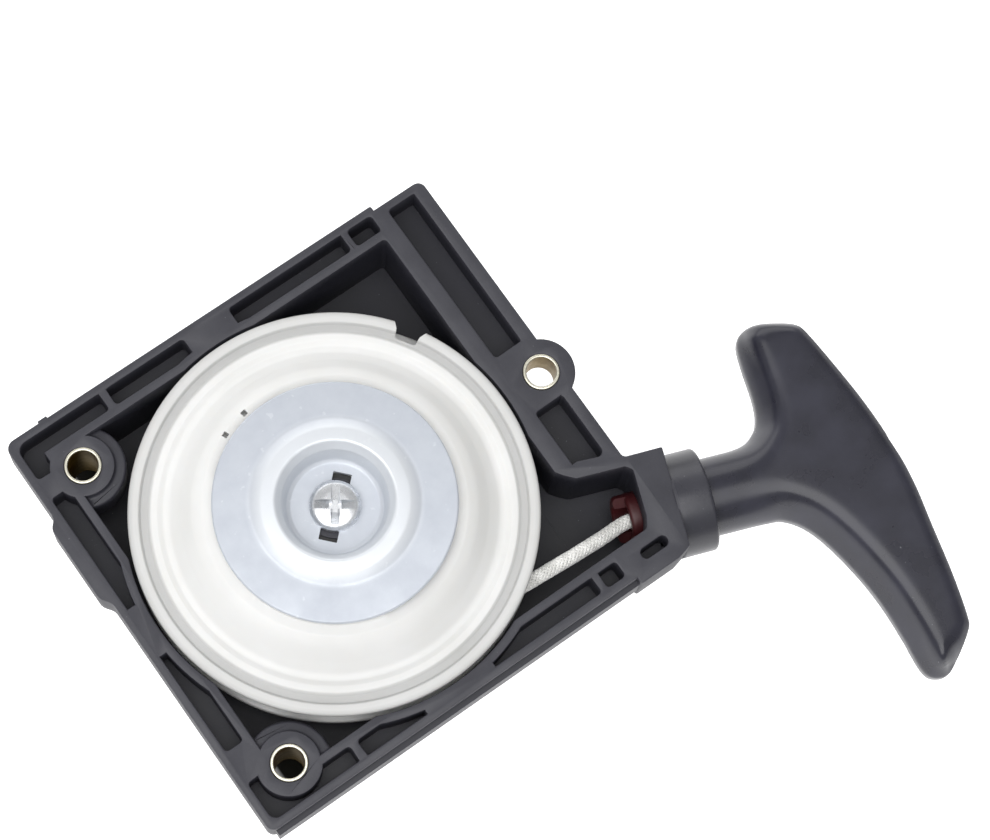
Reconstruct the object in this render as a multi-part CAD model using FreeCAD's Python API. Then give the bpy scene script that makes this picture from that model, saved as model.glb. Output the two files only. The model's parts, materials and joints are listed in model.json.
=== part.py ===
import FreeCAD, Part
import math
import os

# Recoil starter for a small two-stroke engine, as separate pieces.
# Frame: the origin is on the crank axis, in the plane of the open rim that
# meets the engine.  +Z points to the engine, +X runs along the housing towards
# the pull handle.  Everything is in millimetres.

# ---- housing ---------------------------------------------------------------
RIM_LEFT, RIM_RIGHT = -53.4, 62.0
RIM_BOTTOM, RIM_TOP = -52.2, 55.6
RIGHT_TOP = 54.3
RIGHT_BOTTOM = -53.9
STEP_X = 48.6
WALL = 2.0
SKIRT_Z = -10.0
POCKET_Z = -8.5
FLOOR_Z = -22.5
FRONT_Z = -24.5
CAN_Z = -26.5
CAN_R = 41.0
CAVITY_R = 48.0
CAVITY_BOX = (-44.7, 46.8, -44.0, 47.0)
INNER_WALL = 2.1
RIGHT_WALL_X = 51.3
UPPER_BODY = (-50.6, 51.3, -50.4, 51.2)
LOWER_BODY = (-48.6, 51.3, -48.0, 51.2)
LOWER_BODY_R = 8.0
LOWER_CAVITY_R = 45.5
SHELF_Z = -13.0
WELL_R = 38.0
WELL_WALL = 2.5
WELL_TOP = -12.7
POST_R = 7.0

# ---- mounts ----------------------------------------------------------------
LEFT_BOSSES = ((-41.2, 41.5), (-41.2, -41.5))
RIGHT_EAR = (58.2, 0.0)
BOSS_R = 7.2
BOSS_STEP_R = 9.8
BOSS_STEP_Z = -1.8
EAR_R = 8.0
EAR_Z = -9.5
SLEEVE_OD = 8.6
SLEEVE_ID = 7.0
SLEEVE_PROUD = 0.2
LEFT_SLEEVE_LENGTH = 20.0
RIGHT_SLEEVE_LENGTH = EAR_Z * -1 + SLEEVE_PROUD
BOLT_HEAD_R = 5.6

# ---- rope outlet -----------------------------------------------------------
OUTLET_ANGLE = -20.0
OUTLET_Z = -12.0
EYELET = (56.0, -38.0)
BLOCK_FACE = 11.3
CHAMBER_FACE = 3.3
COLLAR_END = 19.6
COLLAR_R = 12.3
COLLAR_BORE_R = 9.7
COLLAR_BORE_START = 6.0
BLOCK_Z = -24.0
ROPE_R = 1.75
BUSH_BORE_R = 3.3
BUSH_BARREL_R = 4.6
BUSH_FLANGE_R = 6.0
BUSH_FLANGE = 2.6

# ---- reel ------------------------------------------------------------------
FLANGE_R = 47.2
REEL_TOP = 1.0
REEL_BOTTOM = -11.0
FLANGE = 2.0
GROOVE_R = 31.4
WINDING_R = 38.4
DISH_Z = 7.6
DISH_R = 30.4
HUB_RING_R = (15.5, 27.7)
HUB_RING_Z = 9.3
HUB_Z = 2.9
REEL_BORE_R = 8.3
REEL_BOSS_R = 11.5
REEL_BOSS_Z = -21.5
NOTCH_ANGLE = 33.4
NOTCH_R = 43.4
NOTCH_WIDTH = 5.6
KNOT_POCKET_R = 3.8
KNOT_AT_R = 25.5

# ---- pawls -----------------------------------------------------------------
PAWL_ANGLES = (-88.0, 92.0)
PAWL_PIVOT_R = 21.0
PAWL_PIN_R = 1.5
PAWL_Z = (7.75, 9.3)
PAWL_EYE_R = 3.2
PAWL_SPRING_R = 2.4
PAWL_SPRING_WIRE = 0.3

# ---- cover plate and screw ---------------------------------------------------
PLATE_R = 27.9
PLATE_TOP = 10.8
PLATE_T = 1.3
RECESS_R = 10.9
RECESS_TOP = 4.7
LIP_TOP = 12.3
SLOT = (4.3, 2.8)
SLOT_R = 6.7
SLOT_ANGLE = 43.0
SCREW_R = 2.95
SCREW_HEAD_R = 5.9
SCREW_HEAD_TOP = 7.8
SCREW_END = -14.0
INSERT_R = 4.4
INSERT_BORE_R = 3.0
INSERT_Z = (-16.0, 3.0)

# ---- rewind spring -----------------------------------------------------------
SPRING_Z = (-21.6, -13.6)
SPRING_STRIP = 0.6
SPRING_INNER_R = 12.0
SPRING_TURNS = 12
SPRING_PITCH = 2.0

# ---- pull handle ---------------------------------------------------------------
HANDLE_HALF = 9.5
NECK_R = 9.4
NECK_START = 13.0
NECK_END = 36.0
HANDLE_ROUND = 4.0
HANDLE_ROPE_R = 2.4
KNOT_BORE_R = 6.5
KNOT_BORE_START = 46.4
HANDLE_BACK = 80.0
WASHER_T = 1.2
WASHER_R = 6.2

AXIS_X = math.cos(math.radians(OUTLET_ANGLE))
AXIS_Y = math.sin(math.radians(OUTLET_ANGLE))
Z_AXIS = FreeCAD.Vector(0, 0, 1)
OUTLET = FreeCAD.Vector(AXIS_X, AXIS_Y, 0)


def vec(x, y, z=0.0):
    return FreeCAD.Vector(x, y, z)


def joined(body, others):
    for other in others:
        body = body.fuse(other)
    return body


def without(body, cutters):
    for cutter in cutters:
        body = body.cut(cutter)
    return body


def on_outlet(distance, z=OUTLET_Z):
    """A point on the outlet axis, measured from the rope eyelet."""
    return vec(EYELET[0] + AXIS_X * distance, EYELET[1] + AXIS_Y * distance, z)


def cylinder(radius, low, high, x=0.0, y=0.0):
    return Part.makeCylinder(radius, high - low, vec(x, y, low), Z_AXIS)


def box(x0, x1, y0, y1, low, high):
    return Part.makeBox(x1 - x0, y1 - y0, high - low, vec(x0, y0, low))


def outlet_cylinder(radius, start, end):
    return Part.makeCylinder(radius, end - start, on_outlet(start), OUTLET)


def rounded_outline(points, z):
    """A closed wire through (x, y, corner radius) points."""
    count = len(points)
    edges = []
    ends = []
    for i in range(count):
        before = vec(*points[i - 1][:2], z)
        here = vec(*points[i][:2], z)
        after = vec(*points[(i + 1) % count][:2], z)
        radius = points[i][2]
        to_before = (before - here).normalize()
        to_after = (after - here).normalize()
        half = to_before.getAngle(to_after) / 2
        if radius <= 0:
            ends.append((here, here))
            continue
        back = radius / math.tan(half)
        start = here + to_before * back
        end = here + to_after * back
        middle_way = (to_before + to_after).normalize()
        centre = here + middle_way * (radius / math.sin(half))
        middle = centre - middle_way * radius
        edges.append(Part.Arc(start, middle, end).toShape())
        ends.append((start, end))
    for i in range(count):
        start = ends[i - 1][1]
        end = ends[i][0]
        if (end - start).Length > 1e-6:
            edges.append(Part.makeLine(start, end))
    return Part.Wire(Part.__sortEdges__(edges))


def prism(points, low, high, radius=0.0):
    """A solid of constant section; each corner may carry its own radius."""
    corners = [(p[0], p[1], p[2] if len(p) > 2 else radius) for p in points]
    face = Part.Face(rounded_outline(corners, low))
    return face.extrude(vec(0, 0, high - low))


def rounded_box(limits, radius, low, high):
    x0, x1, y0, y1 = limits
    corners = ((x0, y0), (x1, y0), (x1, y1), (x0, y1))
    return prism(corners, low, high, radius)


def turned(profile):
    """A solid of revolution about the crank axis from (r, z) points."""
    wire = Part.makePolygon([vec(r, 0, z) for r, z in profile + [profile[0]]])
    return Part.Face(wire).revolve(vec(0, 0, 0), Z_AXIS, 360)


def polar(radius, angle, z=0.0):
    turn = math.radians(angle)
    return vec(radius * math.cos(turn), radius * math.sin(turn), z)


def rim_outline(inset):
    """Outline of the rim, moved inwards by the wall thickness where asked."""
    return (
        (RIM_LEFT + inset, RIM_BOTTOM + inset),
        (STEP_X - 0.7, RIM_BOTTOM + inset),
        (STEP_X - 0.7, RIGHT_BOTTOM + inset),
        (58.7 - inset, RIGHT_BOTTOM + inset),
        (RIM_RIGHT - inset, -46.0),
        (RIM_RIGHT - inset, RIGHT_TOP - inset),
        (STEP_X, RIGHT_TOP - inset),
        (STEP_X, RIM_TOP - inset),
        (RIM_LEFT + inset, RIM_TOP - inset),
    )


def cavity(grow, low, high, radius=CAVITY_R):
    """The open space for reel and rope, or with grow its wall's outside."""
    x0, x1, y0, y1 = CAVITY_BOX
    middle = box(x0 - grow, x1 + grow, y0 - grow, y1 + grow, low, high)
    ring = cylinder(radius + grow, low, high)
    chamber = prism(
        (
            (20.0, y0 - grow),
            (56.6 + grow, y0 - grow),
            (58.2 + grow, -41.5),
            (62.1 + grow, -31.0),
            (61.0 + grow, -29.4 + grow),
            (50.0 + grow, -25.3 + grow),
            (48.0 + grow, -23.0 + grow),
            (45.6 + grow, -19.5),
            (20.0, -19.5),
        ),
        low,
        high,
    )
    return joined(middle, [ring, chamber])


def rim_pockets():
    """The open pockets between the rim's outer skirt and the inner wall."""
    high = 0.5
    skirt = prism(rim_outline(WALL), POCKET_Z, high)
    inner = cavity(INNER_WALL, POCKET_Z - 1, high + 1)
    solid_parts = [inner]
    solid_parts.append(box(47.2, RIGHT_WALL_X, RIM_BOTTOM, RIM_TOP, POCKET_Z - 1, high + 1))
    solid_parts.append(box(46.0, 64.0, -60.0, -22.0, POCKET_Z - 1, high + 1))
    solid_parts.append(box(51.0, 64.0, -7.2, 8.7, POCKET_Z - 1, high + 1))
    solid_parts.append(box(58.7, 64.0, -22.0, RIM_TOP, POCKET_Z - 1, high + 1))
    ribs_top = ((-28.9, -27.0), (-5.7, 7.0), (38.7, 40.4))
    ribs_bottom = ((-28.0, -25.9), (-9.5, 9.5), (39.3, 41.0))
    for x0, x1 in ribs_top:
        solid_parts.append(box(x0, x1, 46.0, RIM_TOP, POCKET_Z - 1, high + 1))
    for x0, x1 in ribs_bottom:
        solid_parts.append(box(x0, x1, RIM_BOTTOM, -43.0, POCKET_Z - 1, high + 1))
    ribs_left = ((-5.2, 8.0), (-40.0, -31.5))
    for y0, y1 in ribs_left:
        solid_parts.append(box(RIM_LEFT, -44.0, y0, y1, POCKET_Z - 1, high + 1))
    solid_parts.append(box(RIM_LEFT, -49.0, 39.0, 44.4, POCKET_Z - 1, high + 1))
    for x, y in LEFT_BOSSES:
        solid_parts.append(cylinder(BOSS_R + 0.4, POCKET_Z - 1, high + 1, x, y))
    pockets = without(skirt, solid_parts)
    block_slot = rounded_box((51.8, 59.0, -49.9, -47.2), 1.2, POCKET_Z, high)
    corner = prism(
        ((51.3, -7.2, 1.0), (51.3, -21.6, 1.0), (57.6, -24.4, 1.0), (58.8, -7.2, 1.0)),
        POCKET_Z,
        high,
    )
    return pockets.fuse([block_slot, corner])


def make_housing():
    rim = prism(rim_outline(0.0), SKIRT_Z, 0.0, 0.6)
    pad = prism(
        ((-53.0, 10.5), (-53.0, 35.5), (-55.3, 33.0), (-55.3, 13.5)), SKIRT_Z, 0.0
    )
    tab = box(-44.0, -41.6, RIM_TOP - 1.0, RIM_TOP + 0.5, SKIRT_Z, 0.0)
    ledge = box(-52.0, STEP_X, RIM_BOTTOM - 1.3, RIM_BOTTOM + 1.0, SKIRT_Z, -2.4)
    upper = rounded_box(UPPER_BODY, LOWER_BODY_R, SHELF_Z - 2.0, SKIRT_Z)
    lower = rounded_box(LOWER_BODY, LOWER_BODY_R, FRONT_Z, SKIRT_Z)
    can = cylinder(CAN_R, CAN_Z, FRONT_Z)
    block = prism(
        (
            (45.0, -53.4, 1.5),
            (58.7, -54.0, 1.0),
            (62.4, -53.0, 0.8),
            (70.9, -30.4, 1.5),
            (61.8, -27.2, 1.0),
            (45.0, -22.0, 1.0),
        ),
        SHELF_Z,
        0.0,
    )
    block_foot = prism(
        (
            (45.0, -49.6, 1.0),
            (59.8, -50.0, 1.0),
            (64.1, -48.5, 0.8),
            (70.9, -30.4, 1.5),
            (61.8, -27.2, 1.0),
            (45.0, -22.0, 1.0),
        ),
        BLOCK_Z,
        SHELF_Z + 1.0,
    )
    ear = cylinder(EAR_R, EAR_Z, 0.0, *RIGHT_EAR)
    collar = outlet_cylinder(COLLAR_R, BLOCK_FACE - 2.0, COLLAR_END)
    body = joined(
        rim, [pad, tab, ledge, upper, lower, can, block, block_foot, ear, collar]
    )
    lower_cavity = cavity(0.0, FLOOR_Z, SHELF_Z + 0.5, LOWER_CAVITY_R)
    body = without(body, [lower_cavity, cavity(0.0, SHELF_Z, 0.5), rim_pockets()])
    added = []
    for x, y in LEFT_BOSSES:
        added.append(cylinder(BOSS_R, FRONT_Z, 0.0, x, y))
        added.append(cylinder(BOSS_STEP_R, FRONT_Z, BOSS_STEP_Z, x, y))
    well = cylinder(WELL_R + WELL_WALL, FLOOR_Z - 0.5, WELL_TOP)
    added.append(well.cut(cylinder(WELL_R, FLOOR_Z - 0.5, WELL_TOP)))
    added.append(cylinder(POST_R, FLOOR_Z - 0.5, RECESS_TOP - PLATE_T))
    body = joined(body, added)
    holes = []
    for x, y in LEFT_BOSSES:
        holes.append(cylinder(SLEEVE_OD / 2, FRONT_Z + 4.5, 0.5, x, y))
        holes.append(cylinder(BOLT_HEAD_R, FRONT_Z - 1.0, FRONT_Z + 4.5, x, y))
    holes.append(cylinder(SLEEVE_OD / 2, EAR_Z - 20.0, 0.5, *RIGHT_EAR))
    holes.append(outlet_cylinder(BUSH_FLANGE_R + 0.25, -1.0, CHAMBER_FACE))
    holes.append(outlet_cylinder(BUSH_BARREL_R, 1.0, COLLAR_END))
    holes.append(outlet_cylinder(COLLAR_BORE_R, COLLAR_BORE_START, COLLAR_END + 1.0))
    holes.append(cylinder(INSERT_R, INSERT_Z[0], 6.0))
    holes.append(cylinder(26.0, CAN_Z - 1.0, CAN_Z + 0.6))
    return without(body, holes)


def make_sleeve(x, y, length):
    outside = cylinder(SLEEVE_OD / 2 - 0.01, SLEEVE_PROUD - length, SLEEVE_PROUD, x, y)
    return outside.cut(cylinder(SLEEVE_ID / 2, -length - 1.0, 1.0, x, y))


def make_rope_bush():
    barrel = outlet_cylinder(BUSH_BARREL_R - 0.02, CHAMBER_FACE - 1.0, COLLAR_BORE_START)
    seat = CHAMBER_FACE - 0.02
    flange = outlet_cylinder(BUSH_FLANGE_R, seat - BUSH_FLANGE, seat)
    bore = outlet_cylinder(BUSH_BORE_R, -2.0, COLLAR_BORE_START + 1.0)
    return barrel.fuse(flange).cut(bore).removeSplitter()


def make_post_insert():
    outside = cylinder(INSERT_R - 0.02, *INSERT_Z)
    return outside.cut(cylinder(INSERT_BORE_R, INSERT_Z[0] - 1, INSERT_Z[1] + 1))


def make_rewind_spring():
    """A flat spiral of half circles about two centres, set on edge."""
    step = SPRING_PITCH / 2
    half = SPRING_STRIP / 2
    sides = {half: [], -half: []}
    for side, edges in sides.items():
        for i in range(2 * SPRING_TURNS):
            radius = SPRING_INNER_R + step * i + side
            upper = i % 2 == 0
            centre = 0.0 if upper else step
            sign = 1.0 if upper else -1.0
            start = vec(centre + sign * radius, 0)
            middle = vec(centre, sign * radius)
            end = vec(centre - sign * radius, 0)
            edges.append(Part.Arc(start, middle, end).toShape())
    last = SPRING_INNER_R + step * 2 * SPRING_TURNS
    caps = []
    for x in (SPRING_INNER_R, last):
        caps.append(Part.makeLine(vec(x - half, 0), vec(x + half, 0)))
    wire = Part.Wire(Part.__sortEdges__(sides[half] + sides[-half] + caps))
    strip = Part.Face(wire).extrude(vec(0, 0, SPRING_Z[1] - SPRING_Z[0]))
    strip.translate(vec(0, 0, SPRING_Z[0]))
    return strip


def make_spring_cover():
    disc = cylinder(WELL_R + WELL_WALL - 0.5, WELL_TOP, WELL_TOP + 0.7)
    return disc.cut(cylinder(REEL_BOSS_R + 0.5, WELL_TOP - 1, WELL_TOP + 2))


def make_cover_plate():
    top = [
        (RECESS_R - 0.5, RECESS_TOP),
        (RECESS_R + 0.3, RECESS_TOP + 0.5),
        (12.4, 10.6),
        (12.9, 11.7),
        (13.6, LIP_TOP),
        (15.4, LIP_TOP - 0.1),
        (17.2, 11.6),
        (18.6, 10.95),
        (20.0, PLATE_TOP),
        (PLATE_R, PLATE_TOP),
    ]
    under = [
        (PLATE_R, PLATE_TOP - PLATE_T),
        (19.6, PLATE_TOP - PLATE_T),
        (18.0, 9.75),
        (16.8, 10.3),
        (15.2, LIP_TOP - PLATE_T - 0.1),
        (14.2, LIP_TOP - PLATE_T - 0.1),
        (13.6, 10.2),
        (12.5, RECESS_TOP + 0.2),
        (11.4, RECESS_TOP - PLATE_T),
    ]
    bore = SCREW_R + 0.25
    plate = turned([(bore, RECESS_TOP)] + top + under + [(bore, RECESS_TOP - PLATE_T)])
    long_side, short_side = SLOT
    for side in (0.0, 180.0):
        slot = box(-short_side / 2, short_side / 2, -long_side / 2, long_side / 2, 2.0, 6.0)
        slot.translate(vec(SLOT_R, 0, 0))
        slot.rotate(vec(0, 0, 0), Z_AXIS, SLOT_ANGLE + side)
        plate = plate.cut(slot)
    return plate


def make_centre_screw():
    head = turned(
        [
            (0.0, RECESS_TOP),
            (SCREW_HEAD_R, RECESS_TOP),
            (SCREW_HEAD_R, RECESS_TOP + 1.3),
            (5.4, 6.8),
            (4.2, 7.4),
            (2.4, SCREW_HEAD_TOP),
            (0.0, SCREW_HEAD_TOP),
        ]
    )
    screw = head.fuse(cylinder(SCREW_R, SCREW_END, RECESS_TOP + 0.5))
    for across in ((3.4, 0.75), (0.75, 3.4)):
        arm = box(-across[0], across[0], -across[1], across[1], SCREW_HEAD_TOP - 2.3, 9.0)
        arm.rotate(vec(0, 0, 0), Z_AXIS, 31.0)
        screw = screw.cut(arm)
    return screw


def make_reel():
    reel = turned(
        [
            (REEL_BORE_R, REEL_BOSS_Z),
            (REEL_BOSS_R, REEL_BOSS_Z),
            (REEL_BOSS_R, REEL_BOTTOM),
            (FLANGE_R, REEL_BOTTOM),
            (FLANGE_R, REEL_BOTTOM + FLANGE),
            (GROOVE_R, REEL_BOTTOM + FLANGE),
            (GROOVE_R, REEL_TOP - FLANGE),
            (FLANGE_R, REEL_TOP - FLANGE),
            (FLANGE_R, REEL_TOP),
            (44.6, REEL_TOP),
            (44.0, 0.1),
            (42.4, 0.1),
            (41.6, 0.7),
            (40.4, 0.7),
            (39.2, 0.0),
            (38.2, 0.2),
            (36.6, 1.2),
            (34.6, 3.2),
            (32.6, 5.7),
            (31.4, 6.9),
            (DISH_R, DISH_Z),
            (HUB_RING_R[1], DISH_Z),
            (HUB_RING_R[1], HUB_RING_Z),
            (HUB_RING_R[0], HUB_RING_Z),
            (HUB_RING_R[0], HUB_Z),
            (REEL_BORE_R, HUB_Z),
        ]
    )
    cuts = []
    notch = box(NOTCH_R, 50.0, -NOTCH_WIDTH / 2, NOTCH_WIDTH / 2, REEL_TOP - FLANGE, 2.0)
    notch.rotate(vec(0, 0, 0), Z_AXIS, NOTCH_ANGLE)
    cuts.append(notch)
    for angle in PAWL_ANGLES:
        cuts.append(pawl_pocket(angle))
        pivot = polar(PAWL_PIVOT_R, angle)
        cuts.append(cylinder(PAWL_PIN_R + 0.01, 1.0, 9.0, pivot.x, pivot.y))
        cuts.append(cylinder(3.3, DISH_Z - 1.0, 9.0, pivot.x, pivot.y))
    for angle in (100.2, 112.6):
        mark = box(28.6, 29.9, -0.6, 0.6, DISH_Z - 0.8, DISH_Z + 0.1)
        mark.rotate(vec(0, 0, 0), Z_AXIS, angle)
        cuts.append(mark)
    knot = polar(KNOT_AT_R, -90.0)
    cuts.append(cylinder(KNOT_POCKET_R, REEL_BOTTOM - 1.0, -1.5, knot.x, knot.y))
    hole = Part.makeCylinder(2.2, 8.0, vec(knot.x, knot.y, -5.0), vec(0, -1, 0))
    cuts.append(hole)
    return without(reel, cuts)


def pawl_pocket(angle):
    """The sector of the hub ring that a pawl swings in, open outwards."""
    pocket = cylinder(GROOVE_R, DISH_Z, 10.0).cut(cylinder(HUB_RING_R[0] + 1.6, DISH_Z, 10.0))
    reach = 60.0
    start = angle - 13.0
    end = angle + 40.0
    wedge = Part.makePolygon(
        [vec(0, 0, 0), polar(reach, start), polar(reach * 1.3, (start + end) / 2),
         polar(reach, end), vec(0, 0, 0)]
    )
    return pocket.common(Part.Face(wedge).extrude(vec(0, 0, 20.0)))


def make_reel_bush():
    bush = cylinder(REEL_BORE_R - 0.03, -21.0, HUB_Z)
    return bush.cut(cylinder(POST_R + 0.05, -22.0, HUB_Z + 1.0))


def make_rope_windings():
    ring = cylinder(WINDING_R, -8.6, -1.4)
    return ring.cut(cylinder(GROOVE_R + 0.02, -9.0, -1.0))


def make_reel_knot():
    knot = polar(KNOT_AT_R, -90.0, -5.0)
    ball = Part.makeSphere(3.2, knot)
    tail = Part.makeCylinder(ROPE_R, 5.8, vec(knot.x, knot.y, knot.z), vec(0, -1, 0))
    return ball.fuse(tail)


def make_pawl(angle):
    """A stamped lever round its pin, lying along the hub's edge at rest."""
    low, high = PAWL_Z
    pivot = polar(PAWL_PIVOT_R, angle)
    eye = cylinder(PAWL_EYE_R, low, high, pivot.x, pivot.y)
    tip_a = polar(27.2, angle + 35.0)
    tip_b = polar(23.4, angle + 35.0)
    side_a = polar(PAWL_PIVOT_R + PAWL_EYE_R - 0.1, angle)
    side_b = polar(PAWL_PIVOT_R - PAWL_EYE_R + 0.3, angle)
    bend = polar(26.4, angle + 18.0)
    lever = prism(
        (
            (side_b.x, side_b.y),
            (side_a.x, side_a.y),
            (bend.x, bend.y),
            (tip_a.x, tip_a.y),
            (tip_b.x, tip_b.y),
        ),
        low,
        high,
    )
    hole = cylinder(PAWL_PIN_R + 0.05, low - 1, high + 1, pivot.x, pivot.y)
    return eye.fuse(lever).cut(hole).removeSplitter()


def make_pawl_pin(angle):
    pivot = polar(PAWL_PIVOT_R, angle)
    return cylinder(PAWL_PIN_R, 1.05, PAWL_Z[1] - 0.05, pivot.x, pivot.y)


def make_pawl_spring(angle):
    """The light return spring's coil, in its recess under the pawl."""
    pivot = polar(PAWL_PIVOT_R, angle, DISH_Z - 0.55)
    return Part.makeTorus(PAWL_SPRING_R, PAWL_SPRING_WIRE, pivot, Z_AXIS)


HANDLE_OUTLINE = (
    (72.7, -53.8, 0.0),
    (79.2, -36.2, 0.0),
    (94.5, -41.5, 9.0),
    (101.2, -15.5, 6.5),
    (108.6, -14.6, 4.0),
    (119.2, -22.6, 5.0),
    (120.4, -50.0, 60.0),
    (117.6, -75.0, 60.0),
    (107.4, -105.6, 6.0),
    (93.5, -113.0, 4.5),
    (90.4, -104.0, 6.0),
    (94.4, -84.0, 30.0),
    (90.0, -59.4, 12.0),
)


def make_handle():
    face = Part.Face(rounded_outline(HANDLE_OUTLINE, OUTLET_Z - HANDLE_HALF))
    grip = face.extrude(vec(0, 0, 2 * HANDLE_HALF))
    ends = []
    for edge in grip.Edges:
        heights = [v.Z for v in edge.Vertexes]
        flat = max(heights) - min(heights) < 1e-6
        middle = edge.valueAt((edge.FirstParameter + edge.LastParameter) / 2)
        on_neck = (middle - on_outlet(0.0, middle.z)).dot(OUTLET) < 21.8
        if flat and not on_neck:
            ends.append(edge)
    grip = grip.makeFillet(HANDLE_ROUND, ends)
    keep = outlet_cylinder(HANDLE_HALF, 19.0, 30.0)
    square_neck = grip.common(outlet_cylinder(60.0, 0.0, 25.0))
    grip = grip.cut(outlet_cylinder(60.0, 0.0, 25.0))
    grip = grip.fuse([square_neck.common(keep), outlet_cylinder(NECK_R, NECK_START, NECK_END)])
    cuts = [
        outlet_cylinder(HANDLE_ROPE_R, 0.0, HANDLE_BACK),
        outlet_cylinder(KNOT_BORE_R, KNOT_BORE_START, HANDLE_BACK),
    ]
    return without(grip, cuts)


def make_handle_washer():
    washer = outlet_cylinder(WASHER_R, KNOT_BORE_START, KNOT_BORE_START + WASHER_T)
    return washer.cut(outlet_cylinder(ROPE_R + 0.3, 0.0, HANDLE_BACK))


def make_handle_knot():
    middle = KNOT_BORE_START + WASHER_T + 4.2
    knot = Part.makeSphere(4.2, on_outlet(middle))
    return knot.cut(outlet_cylinder(20.0, 0.0, KNOT_BORE_START + WASHER_T + 0.02))


def make_rope_run():
    """The rope from the reel through the bush to the knot in the handle."""
    route = (
        (vec(-2.0, -36.6, -5.0), 0.0),
        (vec(33.0, -38.4, -5.2), 60.0),
        (vec(54.7, -38.7, -11.3), 14.0),
        (on_outlet(9.0), 14.0),
        (on_outlet(KNOT_BORE_START + WASHER_T), 0.0),
    )
    edges = []
    last = route[0][0]
    for i in range(1, len(route) - 1):
        here, radius = route[i]
        to_before = (route[i - 1][0] - here).normalize()
        to_after = (route[i + 1][0] - here).normalize()
        half = to_before.getAngle(to_after) / 2
        back = radius / math.tan(half)
        middle_way = (to_before + to_after).normalize()
        start = here + to_before * back
        end = here + to_after * back
        middle = here + middle_way * (radius / math.sin(half) - radius)
        edges.append(Part.makeLine(last, start))
        edges.append(Part.Arc(start, middle, end).toShape())
        last = end
    edges.append(Part.makeLine(last, route[-1][0]))
    path = Part.Wire(edges)
    heading = (route[1][0] - route[0][0]).normalize()
    section = Part.Wire(Part.makeCircle(ROPE_R, route[0][0], heading))
    rope = path.makePipeShell([section], True, False)
    print("rope run", round(path.Length, 2), "volume ratio",
          round(rope.Volume / (path.Length * math.pi * ROPE_R ** 2), 4))
    return rope.cut(cylinder(WINDING_R + 0.1, -12.0, 2.0))


def build():
    upper, lower = LEFT_BOSSES
    nodes = {
        "housing": make_housing(),
        "mount_sleeve_upper_left": make_sleeve(*upper, LEFT_SLEEVE_LENGTH),
        "mount_sleeve_lower_left": make_sleeve(*lower, LEFT_SLEEVE_LENGTH),
        "mount_sleeve_right": make_sleeve(*RIGHT_EAR, RIGHT_SLEEVE_LENGTH),
        "rope_guide_bush": make_rope_bush(),
        "post_insert": make_post_insert(),
        "rewind_spring": make_rewind_spring(),
        "spring_cover": make_spring_cover(),
        "cover_plate": make_cover_plate(),
        "centre_screw": make_centre_screw(),
        "reel": make_reel(),
        "reel_bush": make_reel_bush(),
        "rope_windings": make_rope_windings(),
        "reel_rope_knot": make_reel_knot(),
        "rope_run": make_rope_run(),
        "handle_grip": make_handle(),
        "handle_washer": make_handle_washer(),
        "handle_rope_knot": make_handle_knot(),
    }
    for letter, angle in zip("ab", PAWL_ANGLES):
        nodes["pawl_" + letter] = make_pawl(angle)
        nodes["pawl_pin_" + letter] = make_pawl_pin(angle)
        nodes["pawl_spring_" + letter] = make_pawl_spring(angle)
    return nodes


os.makedirs("parts", exist_ok=True)
for name, shape in build().items():
    limits = shape.BoundBox
    print(name, len(shape.Solids), shape.isValid(), round(shape.Volume, 1),
          [round(v, 2) for v in (limits.XMin, limits.XMax, limits.YMin, limits.YMax,
                                 limits.ZMin, limits.ZMax)])
    shape.exportStep("parts/" + name + ".step")
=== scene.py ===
"""Recoil starter for a small two-stroke engine: the looks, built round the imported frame."""

import json
import math

import bmesh
import bpy
import numpy as np
from bpy.props import FloatProperty, FloatVectorProperty, PointerProperty
from mathutils import Matrix, Vector


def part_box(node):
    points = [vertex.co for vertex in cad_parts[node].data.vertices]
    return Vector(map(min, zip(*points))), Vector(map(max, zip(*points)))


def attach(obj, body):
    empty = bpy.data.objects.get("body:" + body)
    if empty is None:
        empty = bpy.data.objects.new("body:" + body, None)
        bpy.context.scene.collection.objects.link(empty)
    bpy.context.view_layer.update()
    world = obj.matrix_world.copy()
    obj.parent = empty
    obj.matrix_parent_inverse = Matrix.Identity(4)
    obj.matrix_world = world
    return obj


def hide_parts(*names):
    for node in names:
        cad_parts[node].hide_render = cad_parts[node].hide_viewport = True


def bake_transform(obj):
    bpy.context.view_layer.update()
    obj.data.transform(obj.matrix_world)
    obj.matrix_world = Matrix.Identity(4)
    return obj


bl_info = {
    "name": "Recoil Starter",
    "version": (1, 0, 0),
    "blender": (4, 5, 0),
    "location": "View3D > Sidebar > Starter",
    "description": "Builds a pull-rope recoil starter with its housing, reel, rope and handle",
    "category": "Add Mesh",
}

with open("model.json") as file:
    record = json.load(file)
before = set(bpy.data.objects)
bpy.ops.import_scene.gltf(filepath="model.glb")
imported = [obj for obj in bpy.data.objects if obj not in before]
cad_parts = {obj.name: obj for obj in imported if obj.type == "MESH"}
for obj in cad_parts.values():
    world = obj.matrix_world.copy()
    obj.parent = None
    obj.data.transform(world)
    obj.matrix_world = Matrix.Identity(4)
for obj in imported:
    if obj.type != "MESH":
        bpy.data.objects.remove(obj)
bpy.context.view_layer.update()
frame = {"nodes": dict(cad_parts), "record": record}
MM = 0.001


def node_box(name):
    """Lowest and highest corner of a node, in millimetres."""
    low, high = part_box(name)
    return Vector(low) / MM, Vector(high) / MM


def joint(name):
    return next(j for j in frame["record"]["behaviour"]["joints"] if j["name"] == name)


# Every length below is in millimetres, in the frame's axes.
OUTLET = Vector(joint("handle_pull")["axis"]).normalized()
ACROSS = Vector((-OUTLET.y, OUTLET.x, 0.0))
UP = Vector((0.0, 0.0, 1.0))

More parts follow.
